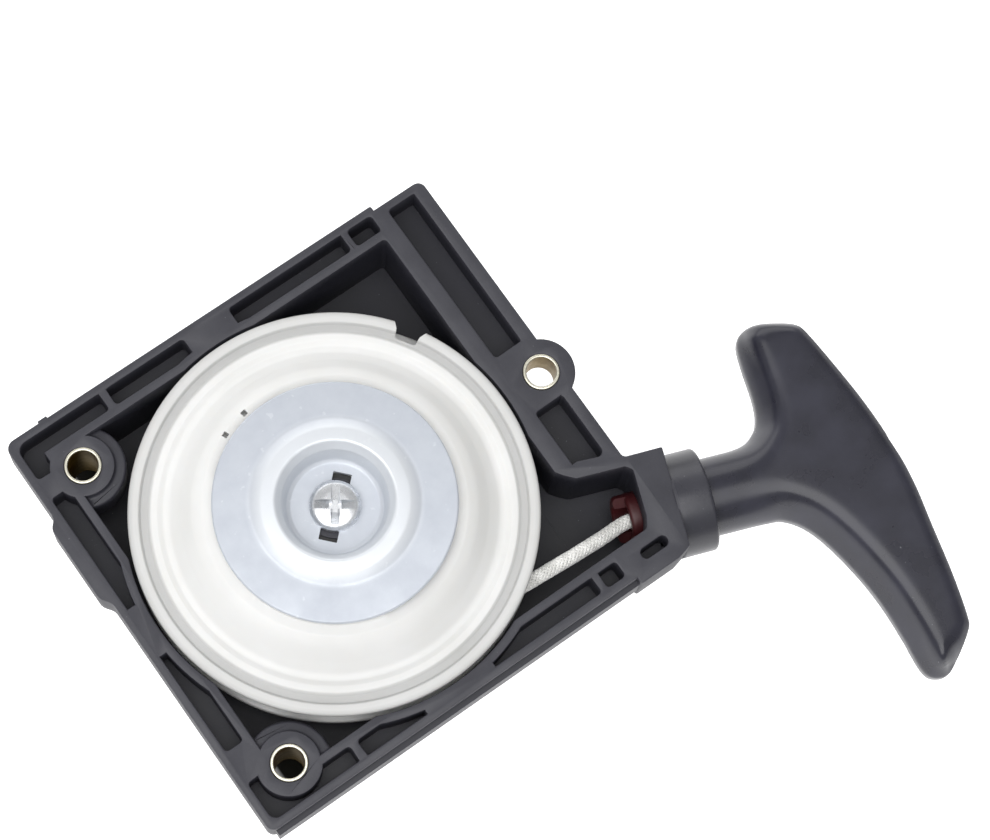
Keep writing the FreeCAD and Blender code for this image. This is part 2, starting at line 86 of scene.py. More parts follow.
# Housing
RIM_LEFT, RIM_RIGHT = -53.4, 62.0
RIM_BOTTOM, RIM_TOP = -52.2, 55.6
RIGHT_TOP, RIGHT_BOTTOM = 54.3, -53.9
STEP_X = 48.6
SKIRT_Z = -10.0
POCKET_Z = -8.5
FLOOR_Z = -22.5
FRONT_Z = -24.5
CAN_Z = node_box("housing")[0].z
SHELF_Z = -13.0
FOOT_Z = -23.4
CAVITY_R = 48.0
LOWER_CAVITY_R = 45.5
CAVITY_BOX = (-44.7, 46.8, -44.0, 47.0)
INNER_WALL = 2.1
WALL = 2.0
LEFT_BOSSES = ((-41.2, 41.5), (-41.2, -41.5))
BOSS_R = 7.2
BOSS_FOOT_R = 6.4
BOSS_SHOULDER_R, BOSS_SHOULDER_Z = 9.8, -1.8
RIGHT_EAR = (58.2, 0.0)
EAR_R, EAR_Z = 8.0, -9.5
SLEEVE_OD = 8.6
SLEEVE_ID = 7.0
BOLT_HEAD_R, BOLT_HEAD_DEPTH = 5.6, 4.5
CAN_R = 41.0
LABEL_R, LABEL_DEPTH = 26.0, 0.6
WELL_R, WELL_WALL, WELL_TOP = 38.0, 2.5, -12.7
POST_R = 7.0
INSERT_R, INSERT_LENGTH = 4.4, 16.0
POST_TOP = node_box("cover_plate")[0].z

# Rope outlet
EYELET = Vector((56.0, -38.0, -12.0))
BLOCK_FACE = 11.3
COLLAR_END = 19.6
COLLAR_R = 12.3
COLLAR_BORE_R = 9.7
BUSH_SEAT = 3.3
BUSH_END = 6.0
BUSH_HEAD_R, BUSH_NECK_R, BUSH_BORE_R = 6.0, 4.58, 3.3

# Reel, plate and screw
FLANGE_R = node_box("reel")[1].x
REEL_TOP = 1.0
REEL_BOTTOM = -11.0
GROOVE_R = 31.4
PLATE_R = node_box("cover_plate")[1].x
PLATE_TOP = 10.8
RECESS_TOP = 4.7
SCREW_TOP = node_box("centre_screw")[1].z
NOTCH_ANGLE = 33.4
MARK_ANGLES = (99.6, 112.4)
KNOT_POCKET = Vector((0.0, -25.5, -5.0))
COIL_RADII = (33.2, 36.6)
COIL_LOW, COIL_HIGH = -6.75, -3.25
SLOT_ANGLE = 43.0
CROSS_ANGLE = 54.5

# Handle
HANDLE_Z = EYELET.z
HANDLE_HALF = 9.5
NECK_R = 9.3
NECK_START = 13.0
ROPE_HOLE_R = 2.4
KNOT_BORE_R = 6.5
KNOT_BORE_START = 46.4

# Table
TABLE_HALF = 1500.0
SHADED_MIDDLE = (3.0, 3.0, 0.0)
SHADED_HALF, SHADED_BLUR = 45.0, 4.0


# ---------------------------------------------------------------- mesh helpers


def place(distance, across=0.0, up=0.0):
    """A point near the outlet axis, measured from the rope eyelet."""
    return EYELET + OUTLET * distance + ACROSS * across + UP * up


def new_object(name, verts, faces):
    mesh = bpy.data.meshes.new(name)
    mesh.from_pydata([Vector(v) * MM for v in verts], [], faces)
    mesh.update()
    obj = bpy.data.objects.new(name, mesh)
    bpy.context.scene.collection.objects.link(obj)
    return obj


def bake(obj):
    """Turns the object's live modifiers into its own plain mesh."""
    graph = bpy.context.evaluated_depsgraph_get()
    mesh = bpy.data.meshes.new_from_object(obj.evaluated_get(graph))
    mesh.name = obj.name
    obj.modifiers.clear()
    obj.data = mesh


def combine(obj, tools, operation):
    """Joins or cuts one solid with others, one at a time, and removes them."""
    for tool in tools:
        modifier = obj.modifiers.new("combine", "BOOLEAN")
        modifier.operation = operation
        modifier.solver = "EXACT"
        modifier.object = tool
        bake(obj)
        bpy.data.objects.remove(tool)
    return obj


def arc(x, y, radius, start, end, step=5.0):
    count = max(2, math.ceil(abs(end - start) / step))
    angles = [math.radians(start + (end - start) * i / count) for i in range(count + 1)]
    return [(x + radius * math.cos(a), y + radius * math.sin(a)) for a in angles]


def rounded(points, step=15.0):
    """Points with a corner radius as third value become arcs."""
    outline = []
    for i, point in enumerate(points):
        corner = Vector(point[:2])
        radius = point[2] if len(point) > 2 else 0.0
        if radius <= 0:
            outline.append(tuple(corner))
            continue
        back = (Vector(points[i - 1][:2]) - corner).normalized()
        ahead = (Vector(points[(i + 1) % len(points)][:2]) - corner).normalized()
        half = back.angle(ahead) / 2
        run = radius / math.tan(half)
        centre = corner + (back + ahead).normalized() * (radius / math.sin(half))
        first = corner + back * run - centre
        last = corner + ahead * run - centre
        start = math.degrees(math.atan2(first.y, first.x))
        turn = (math.degrees(math.atan2(last.y, last.x)) - start + 180) % 360 - 180
        outline += arc(centre.x, centre.y, radius, start, start + turn, step)
    return outline


def prism(name, outline, low, high):
    """A straight-sided solid between two heights."""
    ring = [Vector(p) for p in outline]
    area = sum(ring[i - 1].cross(ring[i]) for i in range(len(ring)))
    if area < 0:
        ring.reverse()
    count = len(ring)
    verts = [(p.x, p.y, low) for p in ring] + [(p.x, p.y, high) for p in ring]
    faces = [tuple(reversed(range(count))), tuple(range(count, 2 * count))]
    for i in range(count):
        j = (i + 1) % count
        faces.append((i, j, count + j, count + i))
    return new_object(name, verts, faces)


def block(x0, x1, y0, y1, low, high):
    return prism("block", [(x0, y0), (x1, y0), (x1, y1), (x0, y1)], low, high)


def disc(x, y, radius, low, high, step=5.0):
    return prism("disc", arc(x, y, radius, 0, 360, step)[:-1], low, high)


def lathe(name, profile, origin, axis, segments=96):
    """Turns (radius, height) points about an axis; the ends on the axis close."""
    axis = Vector(axis).normalized()
    side = Vector((1, 0, 0)) if abs(axis.x) < 0.9 else Vector((0, 1, 0))
    side = (side - axis * side.dot(axis)).normalized()
    other = axis.cross(side)
    origin = Vector(origin)
    verts = []
    rings = []
    for radius, height in profile:
        base = origin + axis * height
        if radius < 1e-6:
            rings.append([len(verts)] * segments)
            verts.append(base)
            continue
        rings.append(list(range(len(verts), len(verts) + segments)))
        for k in range(segments):
            turn = 2 * math.pi * k / segments
            verts.append(base + side * (radius * math.cos(turn)) + other * (radius * math.sin(turn)))
    faces = []
    closed = profile[0][0] > 1e-6
    for i in range(len(rings) if closed else len(rings) - 1):
        one, two = rings[i], rings[(i + 1) % len(rings)]
        for k in range(segments):
            m = (k + 1) % segments
            face = []
            for v in (one[k], one[m], two[m], two[k]):
                if v not in face:
                    face.append(v)
            if len(face) > 2:
                faces.append(face)
    obj = new_object(name, verts, faces)
    tidy_mesh(obj, 0.0)
    return obj


def tidy_mesh(obj, merge=0.02, flat=0.0):
    """Merges doubles, joins coplanar faces and points the normals outwards."""
    mesh = bmesh.new()
    mesh.from_mesh(obj.data)
    if merge > 0:
        bmesh.ops.remove_doubles(mesh, verts=mesh.verts, dist=merge * MM)
    if flat > 0:
        bmesh.ops.dissolve_limit(
            mesh, angle_limit=math.radians(flat), verts=mesh.verts, edges=mesh.edges
        )
    bmesh.ops.recalc_face_normals(mesh, faces=mesh.faces)
    mesh.to_mesh(obj.data)
    mesh.free()
    obj.data.update()


def soften(obj, chooser, width, segments=2):
    """Bevels the sharp edges that the chooser picks by place and normals."""
    mesh = bmesh.new()
    mesh.from_mesh(obj.data)
    mesh.normal_update()
    edges = []
    for edge in mesh.edges:
        if len(edge.link_faces) != 2 or edge.calc_face_angle(0.0) < math.radians(35):
            continue
        if chooser(edge):
            edges.append(edge)
    bmesh.ops.bevel(
        mesh,
        geom=edges,
        offset=width * MM,
        offset_type="OFFSET",
        segments=segments,
        profile=0.5,
        affect="EDGES",
        clamp_overlap=False,
    )
    mesh.to_mesh(obj.data)
    mesh.free()


def smooth(obj, angle=32.0):
    obj.data.polygons.foreach_set("use_smooth", [True] * len(obj.data.polygons))
    obj.data.set_sharp_from_angle(angle=math.radians(angle))


def finish_piece(obj, material, body, slot, *nodes):
    """Gives a piece its material, its body and the nodes that it stands for."""
    obj.data.materials.clear()
    obj.data.materials.append(material)
    if body:
        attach(obj, body)
    if nodes:
        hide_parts(*nodes)
    return obj


# ------------------------------------------------------------------- materials


def srgb(code):
    """A hex sRGB colour as linear RGBA."""
    values = [int(code[i:i + 2], 16) / 255 for i in (1, 3, 5)]
    linear = [v / 12.92 if v <= 0.04045 else ((v + 0.055) / 1.055) ** 2.4 for v in values]
    return (*linear, 1.0)


def add(tree, kind, links=None, **settings):
    """Adds a node; links maps a socket to a value or to another node's socket."""
    node = tree.nodes.new(kind)
    for key, value in settings.items():
        setattr(node, key, value)
    for key, value in (links or {}).items():
        if isinstance(value, bpy.types.NodeSocket):
            tree.links.new(value, node.inputs[key])
        else:
            node.inputs[key].default_value = value
    return node


def ramp(tree, factor, stops):
    node = add(tree, "ShaderNodeValToRGB", {"Fac": factor})
    elements = node.color_ramp.elements
    elements[0].position, elements[1].position = stops[0][0], stops[-1][0]
    elements[0].color, elements[1].color = stops[0][1], stops[-1][1]
    for position, colour in stops[1:-1]:
        elements.new(position).color = colour
    return node.outputs["Color"]


def new_material(name):
    """An empty node material: its tree, its shader and object coordinates."""
    material = bpy.data.materials.new(name)
    material.use_nodes = True
    tree = material.node_tree
    tree.nodes.clear()
    shader = add(tree, "ShaderNodeBsdfPrincipled")
    output = add(tree, "ShaderNodeOutputMaterial")
    tree.links.new(shader.outputs["BSDF"], output.inputs["Surface"])
    place_node = add(tree, "ShaderNodeTexCoord")
    return material, tree, shader, place_node.outputs["Object"]


def noise(tree, where, size_mm, detail=3.0, rough=0.5):
    """Noise whose features are about size_mm across."""
    links = {"Vector": where, "Scale": 1.0 / (size_mm * MM), "Detail": detail, "Roughness": rough}
    return add(tree, "ShaderNodeTexNoise", links).outputs["Fac"]


def mixed(tree, factor, one, two):
    node = add(tree, "ShaderNodeMix", {"Factor": factor}, data_type="RGBA")
    for socket, value in ((node.inputs[6], one), (node.inputs[7], two)):
        if isinstance(value, bpy.types.NodeSocket):
            tree.links.new(value, socket)
        else:
            socket.default_value = value
    return node.outputs[2]


def math_node(tree, operation, one, two=0.0, clamp=False):
    node = add(tree, "ShaderNodeMath", operation=operation, use_clamp=clamp)
    for socket, value in ((node.inputs[0], one), (node.inputs[1], two)):
        if isinstance(value, bpy.types.NodeSocket):
            tree.links.new(value, socket)
        else:
            socket.default_value = value
    return node.outputs[0]


def bump(tree, shader, height, depth_mm, strength=1.0):
    links = {"Height": height, "Distance": depth_mm * MM, "Strength": strength}
    node = add(tree, "ShaderNodeBump", links)
    tree.links.new(node.outputs["Normal"], shader.inputs["Normal"])
    return node


def span(tree, value, low, high, out_low=0.0, out_high=1.0):
    links = {"Value": value, "From Min": low, "From Max": high, "To Min": out_low, "To Max": out_high}
    return add(tree, "ShaderNodeMapRange", links).outputs["Result"]


def crank_radius(tree, where):
    """Distance of each point from the crank axis."""
    flat = add(tree, "ShaderNodeVectorMath", {0: where, 1: (1.0, 1.0, 0.0)}, operation="MULTIPLY").outputs[0]
    return add(tree, "ShaderNodeVectorMath", {0: flat}, operation="LENGTH").outputs["Value"]


def glass_filled_nylon(colours):
    """Moulded black nylon with glass fibre: matt, grainy, greyer on the rim tops from wear and painted light,
    darker in the pockets from painted shade, smoother on the collar.
    """
    material, tree, shader, where = new_material("glass_filled_nylon")
    cloud = noise(tree, where, 16.0, 4.0)
    grain = noise(tree, where, 0.7, 2.0)
    deep = mixed(tree, span(tree, cloud, 0.35, 0.65), colours.housing_dark, colours.housing_light)
    # Painted shade by height: the colour runs from the deep black in the pockets up to the rubbed grey on the
    # rim tops, so the pockets look shaded and the tops look lit. The patchy noise is wear.
    height = add(tree, "ShaderNodeSeparateXYZ", {"Vector": where}).outputs["Z"]
    rim = span(tree, height, -4.0 * MM, -0.3 * MM)
    patchy = span(tree, noise(tree, where, 7.0, 5.0, 0.6), 0.38, 0.64, 0.72, 1.0)
    rubbed_top_and_painted_pocket_shade = math_node(tree, "MULTIPLY", rim, patchy)
    colour = mixed(tree, rubbed_top_and_painted_pocket_shade, deep, colours.housing_worn_and_painted_top_light)
    speck = span(tree, noise(tree, where, 0.8, 1.0), 0.77, 0.82, 0.0, 0.2)
    colour = mixed(tree, speck, colour, colours.dust)
    tree.links.new(colour, shader.inputs["Base Color"])
    beyond = add(tree, "ShaderNodeVectorMath", {0: where, 1: tuple(OUTLET)}, operation="DOT_PRODUCT")
    face = (EYELET.dot(OUTLET) + BLOCK_FACE) * MM
    polished = span(tree, beyond.outputs["Value"], face, face + 0.3 * MM, 0.0, -0.2)
    rough = math_node(tree, "ADD", span(tree, cloud, 0.3, 0.7, 0.46, 0.56), polished)
    tree.links.new(rough, shader.inputs["Roughness"])
    bump(tree, shader, grain, 0.03, 0.5)
    return material


def smooth_nylon(colours):
    """Moulded black nylon from a polished tool: satin, with a finer grain on its back edge."""
    material, tree, shader, where = new_material("smooth_black_nylon")
    cloud = noise(tree, where, 11.0, 4.0)
    colour = mixed(tree, span(tree, cloud, 0.35, 0.65), colours.handle_dark, colours.handle_light)
    normal = add(tree, "ShaderNodeNewGeometry").outputs["Normal"]
    facing = add(tree, "ShaderNodeVectorMath", {0: normal, 1: tuple(OUTLET)}, operation="DOT_PRODUCT")
    back_edge = span(tree, facing.outputs["Value"], 0.35, 0.75)
    spark = span(tree, noise(tree, where, 1.1, 3.0, 0.7), 0.5, 0.66)
    speckle = math_node(tree, "MULTIPLY", back_edge, spark)
    colour = mixed(tree, math_node(tree, "MULTIPLY", speckle, 0.5), colour, colours.housing_worn_and_painted_top_light)
    dust = span(tree, noise(tree, where, 1.1, 1.0), 0.8, 0.83, 0.0, 0.5)
    colour = mixed(tree, dust, colour, colours.dust)
    tree.links.new(colour, shader.inputs["Base Color"])
    matt = math_node(tree, "MULTIPLY", back_edge, 0.3)
    rough = math_node(tree, "ADD", span(tree, cloud, 0.3, 0.7, 0.25, 0.33), matt)
    tree.links.new(rough, shader.inputs["Roughness"])
    tree.links.new(span(tree, back_edge, 0.0, 1.0, 0.5, 0.2), shader.inputs["Specular IOR Level"])
    grain = math_node(tree, "ADD", noise(tree, where, 0.8, 2.0), math_node(tree, "MULTIPLY", speckle, 2.0))
    bump(tree, shader, grain, 0.008, 0.4)
    return material


def natural_nylon(colours):
    """Unpigmented nylon: white, slightly translucent, satin, with painted shade greying its outer rings and
    grooves.
    """
    material, tree, shader, where = new_material("natural_white_nylon")
    cloud = noise(tree, where, 22.0, 3.0)
    colour = mixed(tree, span(tree, cloud, 0.35, 0.65), colours.reel_white, colours.reel_cream)
    # Painted shade: a grey ramp by radius darkens the groove, the lip and the rim of the flange, where shade
    # falls.
    radius = span(tree, crank_radius(tree, where), 36.0 * MM, 48.0 * MM)
    ring_shade_greys = ((0.1, 1.0), (0.47, 1.0), (0.57, 0.66), (0.7, 0.66), (0.75, 0.84), (0.82, 0.84), (0.92, 0.66))
    stops = [(position, (grey, grey, grey, 1.0)) for position, grey in ring_shade_greys]
    painted_ring_shade = add(tree, "ShaderNodeMix", {"Factor": 1.0}, data_type="RGBA", blend_type="MULTIPLY")
    tree.links.new(colour, painted_ring_shade.inputs[6])
    tree.links.new(ramp(tree, radius, stops), painted_ring_shade.inputs[7])
    colour = painted_ring_shade.outputs[2]
    tree.links.new(colour, shader.inputs["Base Color"])
    shader.inputs["Subsurface Weight"].default_value = 0.12
    shader.inputs["Subsurface Radius"].default_value = (1.2 * MM, 1.0 * MM, 0.8 * MM)
    shader.inputs["Subsurface Scale"].default_value = 1.0
    tree.links.new(span(tree, cloud, 0.3, 0.7, 0.38, 0.5), shader.inputs["Roughness"])
    bump(tree, shader, noise(tree, where, 2.2, 4.0), 0.03, 0.5)
    return material


def zinc_plate(colours):
    """Bright zinc plating on pressed steel: bluish, clouded, satin, with light oxide spots and a painted
    highlight on its domed ring.
    """
    material, tree, shader, where = new_material("zinc_plated_steel")
    cloud = noise(tree, where, 9.0, 6.0, 0.6)
    fine = noise(tree, where, 0.8, 3.0)
    colour = mixed(tree, span(tree, cloud, 0.35, 0.66), colours.zinc_blue, colours.zinc_grey)
    spots = span(tree, noise(tree, where, 1.9, 2.0), 0.68, 0.74, 0.0, 0.25)
    colour = mixed(tree, spots, colour, colours.zinc_spot_and_highlight)
    # Painted highlight: the domed ring between the recess and the flat rim is lightened with the spot colour,
    # less so in the recess.
    radius = crank_radius(tree, where)
    outside = span(tree, radius, 20.5 * MM, 17.0 * MM)
    recess = span(tree, radius, 10.0 * MM, 12.5 * MM, 0.15, 0.65)
    painted_dome_highlight = math_node(tree, "MULTIPLY", outside, recess)
    colour = mixed(tree, painted_dome_highlight, colour, colours.zinc_spot_and_highlight)
    tree.links.new(colour, shader.inputs["Base Color"])
    shader.inputs["Metallic"].default_value = 0.32
    grainy = span(tree, fine, 0.3, 0.7, -0.04, 0.04)
    rough = math_node(tree, "ADD", span(tree, cloud, 0.3, 0.7, 0.36, 0.5), grainy)
    tree.links.new(rough, shader.inputs["Roughness"])
    bump(tree, shader, fine, 0.02, 0.35)
    return material


def metal(name, colour, rough, size_mm, relief_mm):
    """A plain plated or turned metal with small marks of the given size."""
    material, tree, shader, where = new_material(name)
    marks = noise(tree, where, size_mm, 4.0, 0.6)
    darker = (*[c * 0.72 for c in colour[:3]], 1.0)
    shade = mixed(tree, span(tree, marks, 0.3, 0.7), darker, tuple(colour))
    tree.links.new(shade, shader.inputs["Base Color"])
    shader.inputs["Metallic"].default_value = 1.0
    tree.links.new(span(tree, marks, 0.3, 0.7, rough + 0.08, rough - 0.04), shader.inputs["Roughness"])
    bump(tree, shader, marks, relief_mm, 0.5)
    return material


def moulded(name, colour, rough, size_mm=1.5):
    """A plain moulded plastic with faint clouding and grain."""
    material, tree, shader, where = new_material(name)
    cloud = noise(tree, where, size_mm * 4, 3.0)
    darker = (*[c * 0.7 for c in colour[:3]], 1.0)
    tree.links.new(mixed(tree, cloud, darker, tuple(colour)), shader.inputs["Base Color"])
    tree.links.new(span(tree, cloud, 0.3, 0.7, rough, rough + 0.1), shader.inputs["Roughness"])
    bump(tree, shader, noise(tree, where, size_mm, 3.0), 0.02, 0.5)
    return material


def polyester_cord(colours):
    """Braided polyester: white, soft sheen, a little grey between its strands."""
    material, tree, shader, where = new_material("braided_polyester")
    soil = noise(tree, where, 3.0, 4.0)
    fibre = noise(tree, where, 0.25, 2.0)
    colour = mixed(tree, span(tree, soil, 0.35, 0.7), colours.rope_white, colours.rope_grey)
    tree.links.new(colour, shader.inputs["Base Color"])
    tree.links.new(span(tree, fibre, 0.3, 0.7, 0.6, 0.8), shader.inputs["Roughness"])
    shader.inputs["Sheen Weight"].default_value = 1.0
    shader.inputs["Sheen Roughness"].default_value = 0.5
    bump(tree, shader, fibre, 0.05, 0.6)
    return material


# --------------------------------------------------------------------- housing


def rim_outline(inset):
    """The rim's outside, or the inside of its skirt wall."""
    return rounded(
        [
            (RIM_LEFT + inset, RIM_BOTTOM + inset, 2.0),
            (60.5 - inset, RIM_BOTTOM + inset),
            (RIM_RIGHT - inset, -46.0),
            (RIM_RIGHT - inset, RIGHT_TOP - inset, 2.0),
            (STEP_X, RIGHT_TOP - inset),
            (STEP_X, RIM_TOP - inset, 0.5),
            (RIM_LEFT + inset, RIM_TOP - inset, 2.4),
        ]
    )


def cavity(grow, low, high, radius=CAVITY_R):
    """The open space for reel and rope; grown, it is the outside of its wall."""
    x0, x1, y0, y1 = CAVITY_BOX
    left, right, bottom, top = x0 - grow, x1 + grow, y0 - grow, y1 + grow
    corners = [(left, bottom), (right, bottom), (right, top, 1.0), (left, top)]
    space = prism("cavity", rounded(corners), low, high)
    ring = disc(0.0, 0.0, radius + grow, low - 0.013, high + 0.01, 3.0)
    chamber = prism(
        "chamber",
        rounded(
            [
                (20.0, y0 - grow + 0.003),
                (56.6 + grow, y0 - grow + 0.003, 1.2),
                (58.2 + grow, -41.5, 1.5),
                (62.1 + grow, -31.0, 1.2),
                (61.0 + grow, -29.4 + grow, 1.0),
                (50.0 + grow, -25.3 + grow, 2.0),
                (48.0 + grow, -23.0 + grow, 1.0),
                (45.6 + grow, -19.5),
                (20.0, -19.5),
            ]
        ),
        low - 0.02,
        high + 0.02,
    )
    return combine(space, [ring, chamber], "UNION")


def rim_pockets():
    """The open pockets between the skirt and the inner wall, divided by ribs."""
    low, high = POCKET_Z - 1.0, 1.4
    skirt = prism("pockets", rim_outline(WALL), POCKET_Z, 0.5)
    solid = [cavity(INNER_WALL, low - 0.1, high + 0.1)]
    for x0, x1, y0, y1 in (
        (47.2, 51.3, -60.0, 60.0),
        (46.0, 64.0, -60.0, -22.0),
        (51.0, 64.0, -7.2, 8.7),
        (58.7, 64.0, -22.0, 60.0),
        (-28.9, -27.0, 46.0, 60.0),
        (-5.7, 7.0, 46.0, 60.0),
        (38.7, 40.4, 46.0, 60.0),
        (-28.0, -25.9, -60.0, -43.0),
        (-9.5, 9.5, -60.0, -43.0),
        (39.3, 41.0, -60.0, -43.0),
        (-60.0, -44.0, -5.2, 8.0),
        (-60.0, -44.0, -40.0, -31.5),
        (-60.0, -47.5, 39.0, 44.4),
    ):
        solid.append(block(x0, x1, y0, y1, low, high))
    for x, y in LEFT_BOSSES:
        solid.append(disc(x, y, 7.6, low - 0.05, high + 0.05))
    combine(skirt, solid, "DIFFERENCE")
    slot = [(51.8, -49.9, 1.3), (59.0, -49.9, 1.3), (59.0, -47.2, 1.3), (51.8, -47.2, 1.3)]
    corner = [(51.3, -7.2, 0.8), (51.3, -21.5, 1.3), (58.95, -24.6, 1.3), (58.95, -7.2, 0.8)]
    more = [prism("pocket", rounded(outline), POCKET_Z, 0.5) for outline in (slot, corner)]
    return combine(skirt, more, "UNION")


def is_level(edge, height, reach=0.03):
    return all(abs(v.co.z / MM - height) < reach for v in edge.verts)


def faces_up_and_out(edge):
    heights = sorted(face.normal.z for face in edge.link_faces)
    return heights[1] > 0.9 and abs(heights[0]) < 0.2


def broad_corner(edge):
    """An upright edge that reaches the rim, between two faces broad enough to round."""
    one, two = (v.co for v in edge.verts)
    upright = abs(one.z - two.z) > 4 * MM and (one.xy - two.xy).length <= 0.01 * MM
    if not upright or max(one.z, two.z) < -0.5 * MM:
        return False
    widths = [face.calc_area() / abs(one.z - two.z) for face in edge.link_faces]
    return min(widths) > 2.6 * MM


def build_housing(sizes, material):
    body = prism("housing_shell", rim_outline(0.0), SKIRT_Z, 0.0)
    spout = [
        (STEP_X - 0.7, RIGHT_BOTTOM, 0.6),
        (58.7, RIGHT_BOTTOM, 1.0),
        (62.4, -53.0, 0.8),
        (70.9, -30.4, 0.4),
        (52.7, -24.0),
        (STEP_X - 0.7, -24.0),
    ]
    foot = [
        (45.0, -49.6, 1.0),
        (59.8, -50.0, 1.0),
        (64.1, -48.5, 0.8),
        (70.8, -30.3, 1.0),
        (52.7, -24.1),
        (45.0, -24.1),
    ]
    lower = [(-48.6, -48.0, 8.0), (51.55, -48.0, 8.0), (51.5, 51.2, 8.0), (-48.6, 51.2, 8.0)]
    upper = [(-50.6, -50.4, 8.0), (51.2, -50.4, 8.0), (51.2, 51.1, 8.0), (-50.6, 51.1, 8.0)]
    added = [
        prism("pad", [(-53.0, 10.5), (-53.0, 35.5), (-55.3, 33.0), (-55.3, 13.5)], SKIRT_Z, 0.0),
        block(-44.0, -41.6, RIM_TOP - 1.0, RIM_TOP + 0.5, SKIRT_Z, 0.0),
        block(-52.0, STEP_X, RIM_BOTTOM - 1.3, RIM_BOTTOM + 1.0, SKIRT_Z, -2.4),
        prism("upper", rounded(upper), SHELF_Z - 2.0, SKIRT_Z + 0.4),
        prism("lower", rounded(lower), FRONT_Z, SKIRT_Z + 0.5),
        disc(0.0, 0.0, CAN_R, CAN_Z, FRONT_Z + 0.5, 3.0),
        prism("foot", rounded(foot), FOOT_Z, SHELF_Z + 1.0),
        prism("spout", rounded(spout), SHELF_Z, 0.0),
        disc(*RIGHT_EAR, EAR_R, EAR_Z, 0.0),
    ]
    combine(body, added, "UNION")
    deep = cavity(0.0, FLOOR_Z, SHELF_Z + 0.5, LOWER_CAVITY_R)
    combine(body, [deep, cavity(0.0, SHELF_Z, 0.5)], "DIFFERENCE")
    added = []
    for x, y in LEFT_BOSSES:
        added.append(disc(x, y, BOSS_FOOT_R, FLOOR_Z - 0.7, SHELF_Z + 0.3))
        added.append(disc(x, y, BOSS_R, SHELF_Z, 0.0))
        added.append(disc(x, y, BOSS_SHOULDER_R, SKIRT_Z + 0.7, BOSS_SHOULDER_Z))
    well = disc(0.0, 0.0, WELL_R + WELL_WALL, FLOOR_Z - 0.5, WELL_TOP, 3.0)
    added.append(combine(well, [disc(0.0, 0.0, WELL_R, FLOOR_Z - 0.6, WELL_TOP + 1.0, 3.0)], "DIFFERENCE"))
    added.append(disc(0.0, 0.0, POST_R, FLOOR_Z - 0.5, POST_TOP))
    combine(body, added, "UNION")
    cuts = [rim_pockets()]
    for x, y in LEFT_BOSSES:
        cuts.append(disc(x, y, SLEEVE_OD / 2, FRONT_Z + BOLT_HEAD_DEPTH, 0.5))
        cuts.append(disc(x, y, BOLT_HEAD_R, FRONT_Z - 3.0, FRONT_Z + BOLT_HEAD_DEPTH + 0.1))
    cuts.append(disc(*RIGHT_EAR, SLEEVE_OD / 2, -20.0, 0.5))
    cuts.append(disc(0.0, 0.0, INSERT_R, -INSERT_LENGTH, 6.0))
    cuts.append(disc(0.0, 0.0, LABEL_R, CAN_Z - 1.0, CAN_Z + LABEL_DEPTH, 3.0))
    for radius, start, length, segments in (
        (COLLAR_BORE_R, BUSH_END, 20.0, 96),
        (BUSH_NECK_R + 0.02, 1.0, 20.0, 48),
        (BUSH_HEAD_R + 0.25, -1.0, BUSH_SEAT + 1.0, 48),
    ):
        bore = [(0.0, 0.0), (radius, 0.0), (radius, length), (0.0, length)]
        cuts.append(lathe("bore", bore, place(start), OUTLET, segments))
    combine(body, cuts, "DIFFERENCE")
    tidy_mesh(body, 0.01, 0.5)
    soften(body, broad_corner, 0.9, 3)
    soften(body, lambda e: is_level(e, 0.0) and faces_up_and_out(e), sizes.rim_round / MM)
    soften(body, lambda e: is_level(e, BOSS_SHOULDER_Z) and faces_up_and_out(e), 0.7, 3)
    soften(body, lambda e: is_level(e, CAN_Z) or is_level(e, FRONT_Z), 0.8, 3)
    smooth(body)
    finish_piece(body, material, "housing", "black_nylon", "housing")
    build_chamber_floor(material)
    build_collar(material)


def build_chamber_floor(material):
    """A thin plate that closes the floor of the rope's chamber."""
    outline = [
        (43.0, -43.8),
        (56.3, -43.8, 1.2),
        (58.0, -41.4, 1.5),
        (61.8, -31.0, 1.2),
        (60.8, -29.6, 1.0),
        (49.9, -25.6, 2.0),
        (47.8, -23.2, 1.0),
        (45.4, -19.8),
        (43.0, -19.8),
    ]
    floor = prism("chamber_floor", rounded(outline), FLOOR_Z - 0.3, FLOOR_Z + 0.06)
    finish_piece(floor, material, "housing", "black_nylon")


def build_collar(material):
    """The round collar that the handle parks in."""
    collar = rounded(
        [
            (COLLAR_BORE_R, BLOCK_FACE - 0.4),
            (COLLAR_R, BLOCK_FACE - 0.4),
            (COLLAR_R, COLLAR_END, 0.9),
            (COLLAR_BORE_R, COLLAR_END, 0.5),
        ]
    )
    ring = lathe("outlet_collar", collar, EYELET, OUTLET, 128)
    smooth(ring)
    finish_piece(ring, material, "housing", "black_nylon")


def build_sleeves(material, bright):
    """Rolled bolt sleeves: yellow inside, their end ring lighter as a painted highlight."""
    places = ((*LEFT_BOSSES[0], "upper_left"), (*LEFT_BOSSES[1], "lower_left"), (*RIGHT_EAR, "right"))
    for x, y, name in places:
        low, high = node_box("mount_sleeve_" + name)
        outer, inner = SLEEVE_OD / 2 - 0.01, SLEEVE_ID / 2
        profile = rounded(
            [(inner, low.z, 0.15), (outer, low.z, 0.15), (outer, high.z, 0.3), (inner, high.z, 0.3)]
        )
        sleeve = lathe("sleeve_" + name, profile, (x, y, 0.0), UP, 96)
        smooth(sleeve, 50)
        finish_piece(sleeve, material, "housing", "yellow_sleeve", "mount_sleeve_" + name)
        sleeve.data.materials.append(bright)
        # Painted highlight: the faces of the top ring take the brighter metal.
        for face in sleeve.data.polygons:
            if face.center.z > (high.z - 0.45) * MM:
                face.material_index = 1


